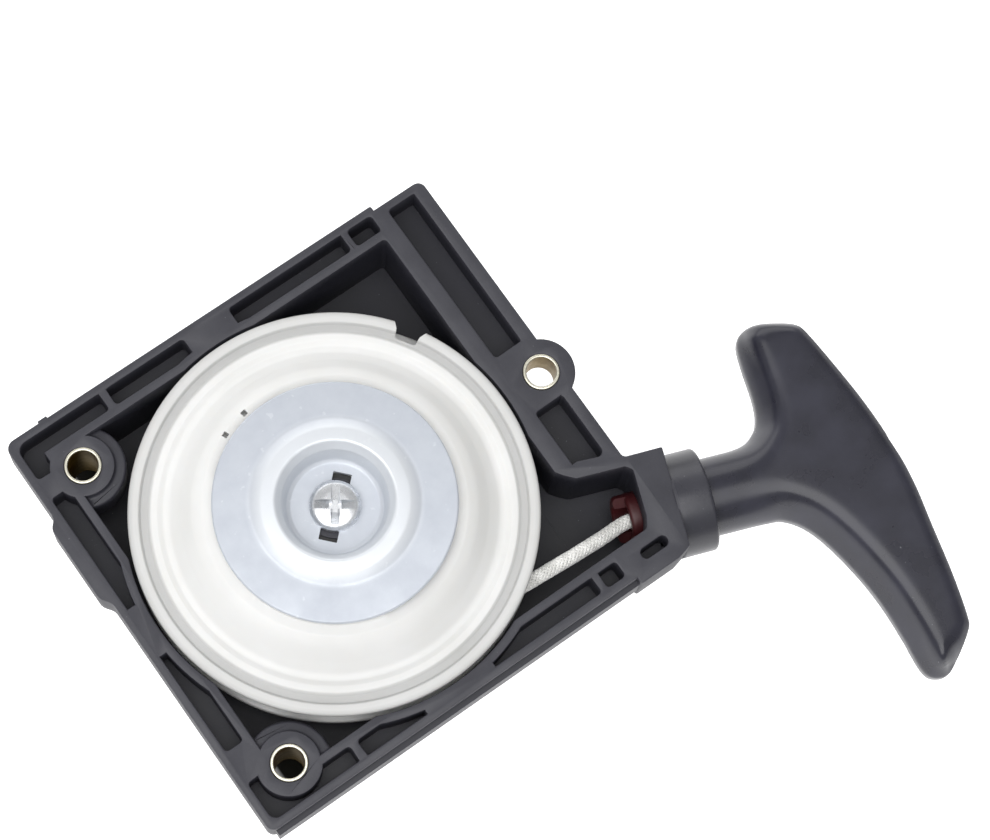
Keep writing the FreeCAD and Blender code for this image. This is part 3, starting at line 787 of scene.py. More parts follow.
def build_rope_bush(material):
    """The flanged bush with a half-round hood over the rope."""
    seat = BUSH_SEAT - 0.02
    profile = rounded(
        [
            (BUSH_BORE_R, seat - 2.6, 0.9),
            (BUSH_HEAD_R, seat - 2.6, 0.9),
            (BUSH_HEAD_R, seat, 0.1),
            (BUSH_NECK_R, seat, 0.1),
            (BUSH_NECK_R, BUSH_END, 0.1),
            (BUSH_BORE_R, BUSH_END, 0.3),
        ]
    )
    bush = lathe("rope_bush", profile, EYELET, OUTLET, 96)
    start, end, outer = seat - 5.4, seat - 1.0, BUSH_HEAD_R - 0.1
    shell = [(BUSH_BORE_R, start, 0.6), (outer, start, 1.2), (outer, end), (BUSH_BORE_R, end)]
    hood = lathe("hood", rounded(shell), EYELET, OUTLET, 96)
    opening = block(-9.0, 9.0, -9.0, 9.0, 0.0, 9.0)
    facing = (UP * 0.8 - ACROSS * 0.6 - OUTLET * 0.15).normalized()
    opening.data.transform(facing.to_track_quat("Z", "Y").to_matrix().to_4x4())
    opening.data.transform(Matrix.Translation(place(seat - 5.0, 0.0, 0.2) * MM))
    combine(hood, [opening], "DIFFERENCE")
    combine(bush, [hood], "UNION")
    smooth(bush)
    finish_piece(bush, material, "housing", "bush_red", "rope_guide_bush")


# ------------------------------------------------------------- reel and plate


def build_reel(material):
    profile = rounded(
        [
            (8.3, -21.5, 0.2),
            (11.5, -21.5, 0.3),
            (11.5, REEL_BOTTOM, 0.3),
            (FLANGE_R, REEL_BOTTOM, 0.6),
            (FLANGE_R, -9.0, 0.6),
            (GROOVE_R, -9.0, 0.3),
            (GROOVE_R, -1.0, 0.3),
            (FLANGE_R, -1.0, 0.5),
            (FLANGE_R, REEL_TOP, 0.7),
            (44.7, REEL_TOP, 0.35),
            (44.2, 0.1, 0.25),
            (42.7, 0.1, 0.4),
            (42.0, 0.75, 0.4),
            (40.4, 0.75, 0.7),
            (39.2, 0.0, 1.0),
            (37.8, 0.15, 2.2),
            (35.2, 2.6, 6.0),
            (32.4, 6.3, 5.0),
            (30.2, 7.6, 1.4),
            (27.7, 7.6, 0.2),
            (27.7, 9.3, 0.3),
            (15.5, 9.3, 0.3),
            (15.5, 2.9, 0.3),
            (8.3, 2.9, 0.2),
        ],
        12.0,
    )
    reel = lathe("reel_body", profile, (0, 0, 0), UP, 240)
    cuts = []
    notch = rounded(
        [
            (43.3, -2.5, 0.6),
            (45.4, -2.9, 0.8),
            (46.9, -3.9, 1.0),
            (49.0, -6.5),
            (49.0, 6.5),
            (46.9, 3.9, 1.0),
            (45.4, 2.9, 0.8),
            (43.3, 2.5, 0.6),
        ],
        20.0,
    )
    cuts.append(turned_about_crank(prism("notch", notch, -1.6, 3.0), NOTCH_ANGLE))
    for angle in MARK_ANGLES:
        cuts.append(turned_about_crank(block(29.0, 30.3, -0.65, 0.65, 4.5, 9.0), angle))
    for name in "ab":
        pivot = joint("pawl_%s_swing" % name)["pos_m"]
        angle = math.degrees(math.atan2(pivot[1], pivot[0]))
        cuts.append(pawl_pocket(angle))
        cuts.append(disc(pivot[0] / MM, pivot[1] / MM, 3.3, 6.6, 9.0, 15.0))
        cuts.append(disc(pivot[0] / MM, pivot[1] / MM, 1.52, 1.0, 9.0, 15.0))
    cuts.append(disc(KNOT_POCKET.x, KNOT_POCKET.y, 3.8, -12.0, -1.5, 15.0))
    combine(reel, cuts, "DIFFERENCE")
    smooth(reel, 35)
    finish_piece(reel, material, "reel", "white_nylon", "reel")


def turned_about_crank(obj, angle):
    obj.data.transform(Matrix.Rotation(math.radians(angle), 4, "Z"))
    return obj


def pawl_pocket(angle):
    """The sector of the hub ring that a pawl lies and swings in."""
    inner, outer = 17.1, 31.0
    outline = arc(0, 0, outer, angle - 13, angle + 40, 3) + arc(0, 0, inner, angle + 40, angle - 13, 3)
    return prism("pocket", outline, 7.6, 10.0)


def build_plate(material):
    profile = rounded(
        [
            (3.2, RECESS_TOP - 1.3),
            (11.4, RECESS_TOP - 1.3, 0.8),
            (12.5, 5.2, 1.0),
            (13.4, 10.4, 1.0),
            (14.3, 10.9, 0.8),
            (16.0, 10.9, 1.5),
            (18.6, 9.5, 1.5),
            (PLATE_R, 9.5, 0.25),
            (PLATE_R, PLATE_TOP, 0.5),
            (19.4, PLATE_TOP, 2.2),
            (16.9, 12.0, 2.2),
            (13.7, 12.35, 0.9),
            (12.2, 9.8, 1.2),
            (11.2, RECESS_TOP + 0.6, 1.0),
            (10.2, RECESS_TOP, 0.9),
            (3.2, RECESS_TOP),
        ],
        12.0,
    )
    plate = lathe("cover_disc", profile, (0, 0, 0), UP, 240)
    cuts = []
    for side in (0.0, 180.0):
        slot = rounded([(5.3, -2.15, 0.2), (8.1, -2.15, 0.2), (8.1, 2.15, 0.2), (5.3, 2.15, 0.2)], 30.0)
        cuts.append(turned_about_crank(prism("slot", slot, 2.0, 6.0), SLOT_ANGLE + side))
    combine(plate, cuts, "DIFFERENCE")
    smooth(plate, 35)
    finish_piece(plate, material, "housing", "zinc_plate", "cover_plate")


def cross_recess(top, depth):
    """A tapered cross with sloping arms, as a driver leaves room for."""
    verts = []
    for reach, half, height in ((6.2, 1.15, top + 0.4), (5.4, 1.05, top), (1.4, 0.6, top - depth)):
        for turn in range(4):
            matrix = Matrix.Rotation(turn * math.pi / 2 + math.radians(CROSS_ANGLE), 3, "Z")
            for point in ((half, -half), (reach, -half), (reach, half)):
                verts.append(matrix @ Vector((*point, height)))
    count = 12
    faces = [tuple(range(count)), tuple(reversed(range(2 * count, 3 * count)))]
    for level in (0, count):
        for i in range(count):
            j = (i + 1) % count
            faces.append((level + i, level + count + i, level + count + j, level + j))
    tool = new_object("cross", verts, faces)
    tidy_mesh(tool, 0.001)
    return tool


def build_screw(material):
    top = SCREW_TOP
    profile = rounded(
        [
            (0.0, -14.0),
            (2.0, -14.0),
            (2.95, -13.0),
            (2.95, RECESS_TOP),
            (5.9, RECESS_TOP, 0.1),
            (5.9, RECESS_TOP + 1.7, 0.7),
            (5.2, top - 0.55, 1.6),
            (3.2, top - 0.08, 3.0),
            (0.0, top),
        ],
        10.0,
    )
    screw = lathe("pan_head_screw", profile, (0, 0, 0), UP, 96)
    combine(screw, [cross_recess(top, 2.6)], "DIFFERENCE")
    smooth(screw, 30)
    finish_piece(screw, material, "housing", "bright_screw", "centre_screw")


# ------------------------------------------------------------------------ rope


def braid_tree():
    """Geometry Nodes: strands laid both ways round a path, as in a braided cord."""
    tree = bpy.data.node_groups.new("braided_cord", "GeometryNodeTree")
    face = tree.interface
    face.new_socket("Geometry", in_out="INPUT", socket_type="NodeSocketGeometry")
    for name, value in (
        ("Cord Radius", 1.75 * MM),
        ("Strand Radius", 0.42 * MM),
        ("Lay Length", 9.0 * MM),
        ("Step", 0.5 * MM),
    ):
        face.new_socket(name, in_out="INPUT", socket_type="NodeSocketFloat").default_value = value
    for name, value in (("Strands", 8), ("Strand Sides", 6)):
        face.new_socket(name, in_out="INPUT", socket_type="NodeSocketInt").default_value = value
    face.new_socket("Material", in_out="INPUT", socket_type="NodeSocketMaterial")
    face.new_socket("Geometry", in_out="OUTPUT", socket_type="NodeSocketGeometry")
    given = add(tree, "NodeGroupInput").outputs
    path = add(
        tree,
        "GeometryNodeResampleCurve",
        {"Curve": given["Geometry"], "Length": given["Step"]},
        mode="LENGTH",
    ).outputs[0]
    circle_radius = math_node(tree, "SUBTRACT", given["Cord Radius"], given["Strand Radius"])
    ring = add(tree, "GeometryNodeMeshCircle", {"Vertices": given["Strands"], "Radius": circle_radius})
    round_strand = {"Resolution": given["Strand Sides"], "Radius": given["Strand Radius"]}
    strand = add(tree, "GeometryNodeCurvePrimitiveCircle", round_strand)
    around = {"Points": ring.outputs[0], "Instance": strand.outputs[0]}
    spread = add(tree, "GeometryNodeInstanceOnPoints", around)
    profile = add(tree, "GeometryNodeRealizeInstances", {"Geometry": spread.outputs[0]}).outputs[0]
    along = add(tree, "GeometryNodeSplineParameter").outputs["Length"]
    turns = math_node(tree, "DIVIDE", along, given["Lay Length"])
    joined = add(tree, "GeometryNodeJoinGeometry")
    for direction in (1.0, -1.0):
        tilt = math_node(tree, "MULTIPLY", turns, direction * 2 * math.pi)
        twisted = add(tree, "GeometryNodeSetCurveTilt", {"Curve": path, "Tilt": tilt}).outputs[0]
        sweep = {"Curve": twisted, "Profile Curve": profile, "Fill Caps": True}
        tube = add(tree, "GeometryNodeCurveToMesh", sweep)
        tree.links.new(tube.outputs[0], joined.inputs[0])
    shaded = add(tree, "GeometryNodeSetShadeSmooth", {"Geometry": joined.outputs[0]}).outputs[0]
    whole = add(tree, "GeometryNodeRealizeInstances", {"Geometry": shaded}).outputs[0]
    painted = add(tree, "GeometryNodeSetMaterial", {"Geometry": whole, "Material": given["Material"]})
    add(tree, "NodeGroupOutput", {"Geometry": painted.outputs[0]})
    return tree


def nurbs_path(name, points):
    curve = bpy.data.curves.new(name, "CURVE")
    curve.dimensions = "3D"
    curve.resolution_u = 12
    spline = curve.splines.new("NURBS")
    spline.points.add(len(points) - 1)
    for target, point in zip(spline.points, points):
        target.co = (*(Vector(point) * MM), 1.0)
    spline.order_u = 3
    spline.use_endpoint_u = True
    obj = bpy.data.objects.new(name, curve)
    bpy.context.scene.collection.objects.link(obj)
    return obj


def braided(name, points, tree, material, **inputs):
    """A braided cord along a path, as a plain mesh."""
    guide = nurbs_path(name, points)
    modifier = guide.modifiers.new("braid", "NODES")
    modifier.node_group = tree
    inputs["Material"] = material
    for item in tree.interface.items_tree:
        if item.in_out == "INPUT" and item.name in inputs:
            modifier[item.identifier] = inputs[item.name]
    graph = bpy.context.evaluated_depsgraph_get()
    mesh = bpy.data.meshes.new_from_object(guide.evaluated_get(graph))
    bpy.data.objects.remove(guide)
    mesh.name = name
    obj = bpy.data.objects.new(name, mesh)
    bpy.context.scene.collection.objects.link(obj)
    return obj


ROPE_ROUTE = (
    (2.0, -36.7, -5.0),
    (14.0, -37.4, -5.0),
    (28.0, -38.2, -5.1),
    (40.0, -38.8, -7.2),
    (50.0, -38.9, -10.1),
    (54.8, -38.6, -11.3),
    tuple(place(4.0, -0.3, 0.1)),
    tuple(place(9.0)),
    tuple(place(20.0)),
    tuple(place(34.0)),
    tuple(place(KNOT_BORE_START + 1.6)),
)


def coil_route(turns=2, per_turn=24):
    """Two layers of rope on the reel, the inner one rising and the outer one falling."""
    coil = []
    for radius, start, end in zip(COIL_RADII, (COIL_LOW, COIL_HIGH), (COIL_HIGH, COIL_LOW)):
        for i in range(turns * per_turn):
            part = i / per_turn
            turn = 2 * math.pi * part
            height = start + (end - start) / turns * part
            coil.append((radius * math.cos(turn), radius * math.sin(turn), height))
    return coil


def build_rope(sizes, material):
    tree = braid_tree()
    radius = sizes.rope_diameter / 2
    run = braided(
        "rope_to_handle",
        ROPE_ROUTE,
        tree,
        material,
        **{"Cord Radius": radius, "Strand Radius": radius * 0.25, "Lay Length": sizes.braid_lay},
    )
    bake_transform(run)
    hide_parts("rope_run")
    coarse = {"Cord Radius": radius, "Strand Radius": radius * 0.32, "Lay Length": 14 * MM}
    coarse.update({"Step": 1.6 * MM, "Strands": 6, "Strand Sides": 5})
    windings = braided("rope_windings_cord", coil_route(), tree, material, **coarse)
    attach(windings, "reel")
    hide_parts("rope_windings")
    for name, body, middle, size in (
        ("handle_knot_cord", "handle", place(KNOT_BORE_START + 4.6), 0.9),
        ("reel_knot_cord", "reel", KNOT_POCKET, 0.62),
    ):
        loop = []
        for i in range(25):
            t = 2 * math.pi * i / 24
            across = math.sin(t) + 2 * math.sin(2 * t)
            upward = math.cos(t) - 2 * math.cos(2 * t)
            local = Vector((across, upward, -1.3 * math.sin(3 * t))) * size
            if body == "handle":
                local = OUTLET * local.z + ACROSS * local.x + UP * local.y
            loop.append(tuple(middle + local))
        knot = braided(
            name,
            loop,
            tree,
            material,
            **{"Cord Radius": radius * 0.9, "Strand Radius": radius * 0.24, "Lay Length": sizes.braid_lay},
        )
        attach(knot, body)
        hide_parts("handle_rope_knot" if body == "handle" else "reel_rope_knot")


# ---------------------------------------------------------------------- handle

FINGER_SIDE = (
    (52.8, -46.7),
    (71.6, -53.6),
    (83.0, -57.9),
    (86.9, -60.1),
    (90.2, -65.3),
    (92.3, -74.0),
    (93.4, -86.0),
    (92.8, -97.1),
    (91.7, -106.3),
)
LOWER_TIP = (
    (92.8, -109.6),
    (95.8, -111.0),
    (99.4, -109.6),
    (105.9, -105.6),
    (107.8, -102.7),
)
BACK_SIDE = (
    (111.0, -92.8),
    (114.1, -80.8),
    (116.7, -70.8),
    (118.2, -60.9),
    (118.8, -48.5),
    (118.4, -36.0),
    (117.7, -26.4),
)
UPPER_TIP = (
    (116.8, -23.6),
    (114.3, -21.2),
    (109.5, -18.2),
    (106.3, -17.3),
)
NECK_SIDE = (
    (103.9, -17.9),
    (102.1, -19.9),
    (100.2, -24.7),
    (97.9, -31.7),
    (95.6, -36.3),
    (92.8, -38.7),
    (88.0, -39.5),
    (78.0, -36.1),
    (59.2, -29.3),
)


def flowing(points, per_span=6):
    """A Catmull-Rom line through the points of an open outline."""
    line = []
    padded = [points[0], *points, points[-1]]
    for i in range(1, len(padded) - 2):
        p = [Vector(q) for q in padded[i - 1:i + 3]]
        for k in range(per_span):
            t = k / per_span
            line.append(
                0.5 * (2 * p[1] + (p[2] - p[0]) * t + (2 * p[0] - 5 * p[1] + 4 * p[2] - p[3]) * t ** 2
                       + (3 * p[1] - p[0] - 3 * p[2] + p[3]) * t ** 3)
            )
    line.append(Vector(points[-1]))
    return line


def distance_to(line, x, y):
    """Distance from every (x, y) to a chain of points."""
    best = np.full(x.shape, 1e9)
    for a, b in zip(line[:-1], line[1:]):
        dx, dy = b[0] - a[0], b[1] - a[1]
        t = np.clip(((x - a[0]) * dx + (y - a[1]) * dy) / max(dx * dx + dy * dy, 1e-9), 0, 1)
        best = np.minimum(best, np.hypot(x - a[0] - dx * t, y - a[1] - dy * t))
    return best


def within(line, x, y):
    """True where (x, y) lies inside the closed outline."""
    inside = np.zeros(x.shape, bool)
    for a, b in zip(line, line[1:] + line[:1]):
        crosses = (a[1] > y) != (b[1] > y)
        rise = b[1] - a[1] if abs(b[1] - a[1]) > 1e-9 else 1e-9
        inside ^= crosses & (x < (b[0] - a[0]) * (y - a[1]) / rise + a[0])
    return inside


def surface_net(field, corner, step):
    """Quads round the zero level of a sampled field, one vertex per crossed cell."""
    shape = np.array(field.shape) - 1
    total = np.zeros((*shape, 3))
    count = np.zeros(shape)
    crossings = []
    for axis in range(3):
        low = [slice(None)] * 3
        high = [slice(None)] * 3
        low[axis], high[axis] = slice(None, -1), slice(1, None)
        a, b = field[tuple(low)], field[tuple(high)]
        crossed = (a < 0) != (b < 0)
        where = np.where(crossed, a / np.where(crossed, a - b, 1.0), 0.0)
        crossings.append((crossed, a < 0))
        others = [k for k in range(3) if k != axis]
        for d in ((0, 0), (0, 1), (1, 0), (1, 1)):
            cut = [slice(None)] * 3
            for k, shift in zip(others, d):
                cut[k] = slice(shift, shape[k] + shift)
            hit = crossed[tuple(cut)]
            count += hit
            total[..., axis] += where[tuple(cut)]
            for k, shift in zip(others, d):
                total[..., k] += hit * shift
    used = count > 0
    index = np.full(shape, -1)
    index[used] = np.arange(used.sum())
    cells = np.argwhere(used)
    verts = corner + (cells + total[used] / count[used][:, None]) * step
    faces = []
    for axis, (crossed, inside) in enumerate(crossings):
        j, k = (axis + 1) % 3, (axis + 2) % 3
        for cell in np.argwhere(crossed):
            if min(cell[j], cell[k]) < 1 or cell[j] >= shape[j] or cell[k] >= shape[k]:
                continue
            ring = []
            for dj, dk in ((-1, -1), (0, -1), (0, 0), (-1, 0)):
                corner_cell = cell.copy()
                corner_cell[j] += dj
                corner_cell[k] += dk
                ring.append(int(index[tuple(corner_cell)]))
            faces.append(ring if inside[tuple(cell)] else ring[::-1])
    return verts, faces


def smooth_max(a, b, reach):
    """The larger of two fields, rounded over where they meet."""
    near = np.maximum(reach - np.abs(a - b), 0.0) / reach
    return np.maximum(a, b) + near * near * reach / 4


def eased(values, low, high):
    t = np.clip((values - low) / (high - low), 0, 1)
    return t * t * (3 - 2 * t)


def build_handle(sizes, material):
    """The T-grip as one body: round neck, leaning finger sides below a crease, tight back edge."""
    grid = sizes.handle_grid / MM
    low, high = node_box("handle_grip")
    corner = np.array([low.x - 1.5, low.y - 1.5, low.z - 1.5])
    top = np.array([high.x + 1.5, high.y + 1.5, high.z + 1.5])
    counts = np.ceil((top - corner) / grid).astype(int) + 1
    xs, ys, zs = (corner[k] + grid * np.arange(counts[k]) for k in range(3))
    x, y = np.meshgrid(xs, ys, indexing="ij")
    finger = flowing(FINGER_SIDE + LOWER_TIP[:3])
    neck = flowing(NECK_SIDE)
    back = flowing(LOWER_TIP[2:] + BACK_SIDE + UPPER_TIP)
    outline = flowing(FINGER_SIDE + LOWER_TIP + BACK_SIDE + UPPER_TIP + NECK_SIDE)
    edge = distance_to(outline + outline[:1], x, y)
    inside = within(outline, x, y)
    signed = np.where(inside, -edge, edge)
    to_finger = np.minimum(distance_to(finger, x, y), distance_to(neck, x, y))
    to_back = distance_to(back, x, y)
    share = eased(to_back / (to_back + to_finger + 1e-6), 0.15, 0.85)
    wide = 4.2 + (sizes.finger_round / MM - 4.2) * share
    bend = 0.42 + (0.146 - 0.42) * share
    lean = 0.05 + (0.56 - 0.05) * share
    crease = 2.4 + (0.9 - 2.4) * share
    along = (x - EYELET.x) * OUTLET.x + (y - EYELET.y) * OUTLET.y
    off_axis = (x - EYELET.x) * ACROSS.x + (y - EYELET.y) * ACROSS.y
    flat_share = eased(along, 26.0, 44.0)
    flare_share = eased(along, 17.0, 24.0)
    rounded_in = np.maximum(NECK_R + signed, 0.0)
    slope = bend * np.maximum(wide + signed, 0.0)
    crown = HANDLE_HALF - slope * np.maximum(wide + signed, 0.0) / 2
    field = np.empty(tuple(counts))
    for k, z in enumerate(zs):
        height = abs(z - HANDLE_Z)
        cap = (height - crown) / np.sqrt(1 + slope ** 2)
        side = (signed + lean * max(height - 1.5, 0.0)) / np.sqrt(1 + lean ** 2)
        grip = smooth_max(cap, side, crease)
        radius = np.hypot(off_axis, z - HANDLE_Z)
        flare = np.where(signed > -NECK_R, np.hypot(rounded_in, z - HANDLE_Z), height) - NECK_R
        neck_part = (radius - NECK_R) * (1 - flare_share) + flare * flare_share
        solid = neck_part * (1 - flat_share) + grip * flat_share
        solid = np.maximum(solid, NECK_START - along)
        bore = np.maximum(radius - KNOT_BORE_R, KNOT_BORE_START - along)
        bore = np.minimum(bore, radius - ROPE_HOLE_R)
        field[:, :, k] = np.maximum(solid, -bore)
    verts, faces = surface_net(field, corner, grid)
    handle = new_object("handle_body", verts, faces)
    tidy_mesh(handle, 0.0)
    relax = handle.modifiers.new("relax", "SMOOTH")
    relax.factor = 0.5
    relax.iterations = 3
    bake(handle)
    smooth(handle, 50)
    finish_piece(handle, material, "handle", "handle_nylon", "handle_grip")


# --------------------------------------------------------------- inside pieces


def dress_node(name, material):
    """A piece kept as it was made in the frame, in its own finish."""
    node = frame["nodes"][name]
    node.data.materials.clear()
    node.data.materials.append(material)


def build_inside(colours):
    steel = metal("ground_steel", colours.plain_steel, 0.4, 2.0, 0.01)
    spring = metal("blued_spring_steel", colours.spring_steel, 0.34, 1.6, 0.008)
    brass = metal("turned_brass", colours.brass, 0.32, 1.2, 0.01)
    acetal = moulded("moulded_acetal", colours.acetal, 0.35)
    for name in ("spring_cover", "handle_washer", "pawl_a", "pawl_b", "pawl_pin_a", "pawl_pin_b"):
        dress_node(name, steel)
    for name in ("rewind_spring", "pawl_spring_a", "pawl_spring_b"):
        dress_node(name, spring)
    dress_node("post_insert", brass)
    dress_node("reel_bush", acetal)


# ----------------------------------------------------------------------- stage


def build_stage(light):
    """White table, camera above it, and soft lights."""
    scene = bpy.context.scene
    floor = block(-TABLE_HALF, TABLE_HALF, -TABLE_HALF, TABLE_HALF, CAN_Z - 5.0, CAN_Z)
    floor.name = "table"
    material, tree, shader, where = new_material("matt_white_paper")
    shader.inputs["Roughness"].default_value = 0.9
    shader.inputs["Emission Color"].default_value = (1.0, 1.0, 1.0, 1.0)
    middle = tuple(Vector(SHADED_MIDDLE) * MM)
    apart = add(tree, "ShaderNodeVectorMath", {0: where, 1: middle}, operation="SUBTRACT").outputs[0]
    apart = add(tree, "ShaderNodeVectorMath", {0: apart}, operation="ABSOLUTE").outputs[0]
    axes = add(tree, "ShaderNodeSeparateXYZ", {"Vector": apart}).outputs
    reach = math_node(tree, "MAXIMUM", axes["X"], axes["Y"])
    open_table = span(tree, reach, SHADED_HALF * MM, (SHADED_HALF + SHADED_BLUR) * MM)
    colour = mixed(tree, open_table, light.shaded_colour, light.table_colour)
    tree.links.new(colour, shader.inputs["Base Color"])
    glow = math_node(tree, "MULTIPLY", open_table, light.table_glow)
    tree.links.new(glow, shader.inputs["Emission Strength"])
    floor.data.materials.append(material)

    around, height, roll = light.around, light.height, light.roll
    level = math.cos(height)
    back = Vector((math.sin(around) * level, -math.cos(around) * level, math.sin(height)))
    right = Vector((math.cos(around), math.sin(around), 0.0))
    up = back.cross(right)
    across = right * math.cos(roll) + up * math.sin(roll)
    upward = up * math.cos(roll) - right * math.sin(roll)
    data = bpy.data.cameras.new("camera")
    data.sensor_width = 36.0
    data.lens = light.lens
    data.clip_start = 0.01
    camera = bpy.data.objects.new("camera", data)
    matrix = Matrix((across, upward, back)).transposed().to_4x4()
    matrix.translation = Vector(light.target) + back * light.distance
    camera.matrix_world = matrix
    scene.collection.objects.link(camera)
    scene.camera = camera

    target = Vector(light.target)
    for name, lean, turn, distance, width, depth, power in (
        ("overhead_softbox", 17.0, -14.0, 0.9, 1.04, 0.76, light.overhead),
        ("far_softbox", -64.0, 0.0, 1.0, 1.5, 0.55, light.far),
    ):
        tilt = Matrix.Rotation(math.radians(lean), 3, OUTLET) @ Matrix.Rotation(math.radians(turn), 3, ACROSS)
        direction = tilt @ UP
        lamp = bpy.data.lights.new(name, "AREA")
        lamp.shape = "RECTANGLE"
        lamp.size, lamp.size_y = width, depth
        lamp.energy = power
        obj = bpy.data.objects.new(name, lamp)
        matrix = Matrix((tilt @ OUTLET, tilt @ ACROSS, direction)).transposed().to_4x4()
        matrix.translation = target + direction * distance
        obj.matrix_world = matrix
        scene.collection.objects.link(obj)
    world = bpy.data.worlds.new("studio")
    world.use_nodes = True
    tree = world.node_tree
    background = tree.nodes["Background"]
    background.inputs["Color"].default_value = light.room_colour
    view = add(tree, "ShaderNodeTexCoord").outputs["Generated"]
    beyond = add(tree, "ShaderNodeVectorMath", {0: view, 1: tuple(OUTLET)}, operation="DOT_PRODUCT")
    strength = span(tree, beyond.outputs["Value"], 0.55, 0.95, light.room, light.room_dark)
    tree.links.new(strength, background.inputs["Strength"])
    scene.world = world
    scene.view_settings.view_transform = "Standard"
    scene.view_settings.look = "None"


# ------------------------------------------------------------------ properties


def colour_of(name, description, code):
    return FloatVectorProperty(
        name=name, description=description, subtype="COLOR", size=4, min=0.0, max=1.0, default=srgb(code)
    )


def length_of(name, description, millimetres):
    return FloatProperty(
        name=name,
        description=description,
        subtype="DISTANCE",
        unit="LENGTH",
        min=0.0,
        default=millimetres * MM,
    )


def angle_of(name, description, degrees):
    return FloatProperty(name=name, description=description, subtype="ANGLE", default=math.radians(degrees))


def power_of(name, description, watts):
    return FloatProperty(name=name, description=description, subtype="POWER", unit="POWER", default=watts)


def strength_of(name, description, value):
    return FloatProperty(name=name, description=description, min=0.0, default=value)


class StarterSizes(bpy.types.PropertyGroup):
    rim_round: length_of("Rim rounding", "Rounding of the housing's top edges", 0.35)
    rope_diameter: length_of("Rope diameter", "Thickness of the pull rope", 3.5)
    braid_lay: length_of("Braid lay", "Length in which a strand goes once round the rope", 9.0)
    finger_round: length_of("Finger rounding", "Width of the grip's crowned edge on the finger side", 7.6)
    handle_grid: length_of("Handle detail", "Size of the cells that the grip is made from", 0.6)


class StarterColours(bpy.types.PropertyGroup):
    housing_dark: colour_of("Housing, deep", "Black nylon in its darkest patches", "#1b1b23")
    housing_light: colour_of("Housing", "Black nylon in its lighter patches", "#22222b")
    # Also painted light: the housing takes this grey on its rim tops and the deep black in its pockets.
    housing_worn_and_painted_top_light: colour_of("Housing, rubbed", "Grey of rubbed and dusty nylon", "#38383f")
    handle_dark: colour_of("Handle, deep", "Black of the grip in its darkest patches", "#20202a")
    handle_light: colour_of("Handle", "Black of the grip in its lighter patches", "#2a2a36")
    dust: colour_of("Dust", "Dust specks on the grip", "#9a9aa0")
    reel_white: colour_of("Reel", "Natural nylon of the reel", "#dededd")
    reel_cream: colour_of("Reel, cream", "Creamier patches of the reel", "#d8d8d6")
    zinc_blue: colour_of("Zinc, blue", "Bluish zinc plating", "#bfc4cc")
    zinc_grey: colour_of("Zinc, grey", "Greyer zinc plating", "#b6bbc4")
    # Also the colour of the painted highlight on the plate's domed ring.
    zinc_spot_and_highlight: colour_of("Zinc spots", "Light oxide spots on the plating", "#e4e7ea")
    screw: colour_of("Screw", "Bright plated screw", "#eceef1")
    sleeve: colour_of("Sleeves", "Yellow chromate on the bolt sleeves", "#8f7638")
    # Painted highlight on the top ring of each sleeve.
    sleeve_top_highlight: colour_of("Sleeve edge", "Worn bright edge of the sleeves", "#ece8d6")
    brass: colour_of("Insert", "Turned brass", "#c79f52")
    spring_steel: colour_of("Springs", "Blued spring steel", "#5f646e")
    plain_steel: colour_of("Steel", "Plain ground steel", "#a7a9ad")
    bush: colour_of("Rope bush", "Red brown nylon of the rope guide", "#431518")
    acetal: colour_of("Reel bush", "Acetal bush under the reel", "#1c1c1e")
    rope_white: colour_of("Rope", "White polyester of the rope", "#f6f5f2")
    rope_grey: colour_of("Rope, soiled", "Soiled patches of the rope", "#d6d5d1")


class StarterStage(bpy.types.PropertyGroup):
    around: angle_of("Around", "Turn of the camera about the crank axis", -48.68)
    height: angle_of("Height", "Angle of the camera above the table", 75.56)
    roll: angle_of("Roll", "Turn of the camera about its own line of sight", 13.66)
    distance: length_of("Distance", "Camera distance from its target", 693.42)
    target: FloatVectorProperty(
        name="Target",
        description="Point that the camera looks at",
        subtype="XYZ",
        unit="LENGTH",
        size=3,
        default=(42.64 * MM, -3.28 * MM, 0.0),
    )
    lens: FloatProperty(name="Lens", description="Focal length in millimetres", min=1.0, default=109.1)
    overhead: power_of("Overhead light", "Power of the large softbox above", 7.2)
    far: power_of("Far light", "Power of the strip on the far side", 4.0)
    room: strength_of("Room light", "Strength of the light from all round", 0.54)
    room_dark: strength_of("Dark side", "Strength of the room light beyond the grip", 0.35)
    room_colour: colour_of("Room colour", "Colour of the light from all round", "#ffffff")
    table_colour: colour_of("Table", "White of the table", "#f4f4f4")
    shaded_colour: colour_of("Table, shaded", "Table where the housing stands on it", "#34332e")
    table_glow: strength_of("Table glow", "Light that the table gives off by itself", 0.8)


# ------------------------------------------------------------------- operators


class StagePiece(bpy.types.Operator):
    """Adds the table, camera and lights"""

    bl_idname = "starter.stage"
    bl_label = "Stage"

    def execute(self, context):
        build_stage(context.scene.starter_stage)
        return {"FINISHED"}


class HousingPiece(bpy.types.Operator):
    """Adds the black housing with its ribs, bosses and rope outlet"""

    bl_idname = "starter.housing"
    bl_label = "Housing"

    def execute(self, context):
        build_housing(context.scene.starter_sizes, glass_filled_nylon(context.scene.starter_colours))
        return {"FINISHED"}


class SleevePieces(bpy.types.Operator):
    """Adds the three bolt sleeves"""

    bl_idname = "starter.sleeves"
    bl_label = "Bolt sleeves"

    def execute(self, context):
        colours = context.scene.starter_colours
        yellow = metal("yellow_chromate_steel", colours.sleeve, 0.4, 2.5, 0.02)
        build_sleeves(yellow, metal("sleeve_top_painted_highlight", colours.sleeve_top_highlight, 0.3, 1.5, 0.02))
        return {"FINISHED"}


class BushPiece(bpy.types.Operator):
    """Adds the red rope guide bush"""

    bl_idname = "starter.rope_bush"
    bl_label = "Rope guide bush"

    def execute(self, context):
        build_rope_bush(moulded("moulded_red_nylon", context.scene.starter_colours.bush, 0.4))
        return {"FINISHED"}


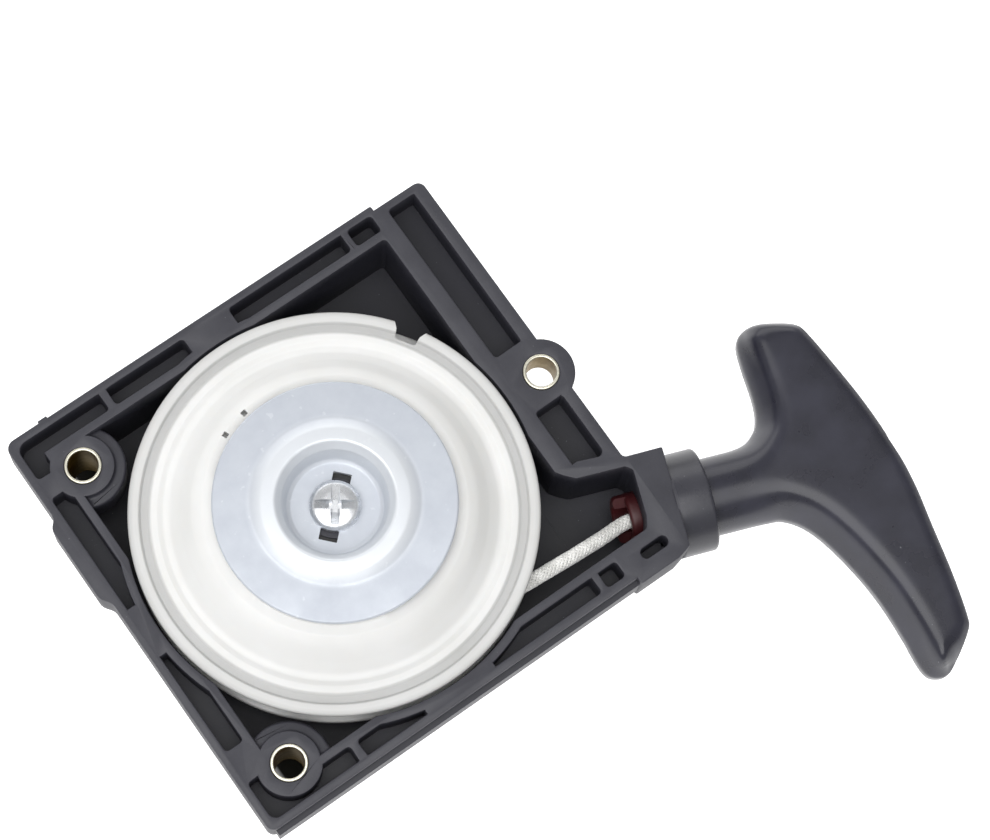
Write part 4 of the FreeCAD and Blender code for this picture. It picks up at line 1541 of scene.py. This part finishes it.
class ReelPiece(bpy.types.Operator):
    """Adds the white rope reel"""

    bl_idname = "starter.reel"
    bl_label = "Reel"

    def execute(self, context):
        build_reel(natural_nylon(context.scene.starter_colours))
        return {"FINISHED"}


class PlatePiece(bpy.types.Operator):
    """Adds the zinc plated cover plate"""

    bl_idname = "starter.plate"
    bl_label = "Cover plate"

    def execute(self, context):
        build_plate(zinc_plate(context.scene.starter_colours))
        return {"FINISHED"}


class ScrewPiece(bpy.types.Operator):
    """Adds the centre screw"""

    bl_idname = "starter.screw"
    bl_label = "Centre screw"

    def execute(self, context):
        build_screw(metal("bright_zinc_screw", context.scene.starter_colours.screw, 0.28, 1.2, 0.01))
        return {"FINISHED"}


class RopePieces(bpy.types.Operator):
    """Adds the braided rope, its windings and its knots"""

    bl_idname = "starter.rope"
    bl_label = "Rope"

    def execute(self, context):
        scene = context.scene
        build_rope(scene.starter_sizes, polyester_cord(scene.starter_colours))
        return {"FINISHED"}


class HandlePiece(bpy.types.Operator):
    """Adds the pull handle"""

    bl_idname = "starter.handle"
    bl_label = "Pull handle"

    def execute(self, context):
        scene = context.scene
        build_handle(scene.starter_sizes, smooth_nylon(scene.starter_colours))
        return {"FINISHED"}


class InsidePieces(bpy.types.Operator):
    """Gives the pieces inside their finishes"""

    bl_idname = "starter.inside"
    bl_label = "Inside pieces"

    def execute(self, context):
        build_inside(context.scene.starter_colours)
        return {"FINISHED"}


OPERATORS = (
    StagePiece,
    HousingPiece,
    SleevePieces,
    BushPiece,
    ReelPiece,
    PlatePiece,
    ScrewPiece,
    RopePieces,
    HandlePiece,
    InsidePieces,
)
GROUPS = (
    ("starter_sizes", StarterSizes),
    ("starter_colours", StarterColours),
    ("starter_stage", StarterStage),
)


class StarterPanel(bpy.types.Panel):
    """Lists the sizes, colours and pieces"""

    bl_idname = "VIEW3D_PT_starter"
    bl_label = "Recoil starter"
    bl_space_type = "VIEW_3D"
    bl_region_type = "UI"
    bl_category = "Starter"

    def draw(self, context):
        for name, group in GROUPS:
            box = self.layout.box()
            for item in group.__annotations__:
                box.prop(getattr(context.scene, name), item)
        for operator in OPERATORS:
            self.layout.operator(operator.bl_idname)


def register():
    for name, group in GROUPS:
        bpy.utils.register_class(group)
        setattr(bpy.types.Scene, name, PointerProperty(type=group))
    for kind in (*OPERATORS, StarterPanel):
        bpy.utils.register_class(kind)


def unregister():
    for kind in reversed((*OPERATORS, StarterPanel)):
        bpy.utils.unregister_class(kind)
    for name, group in reversed(GROUPS):
        delattr(bpy.types.Scene, name)
        bpy.utils.unregister_class(group)


def main():
    register()
    for operator in OPERATORS:
        group, name = operator.bl_idname.split(".")
        getattr(getattr(bpy.ops, group), name)()


if __name__ == "__main__":
    main()
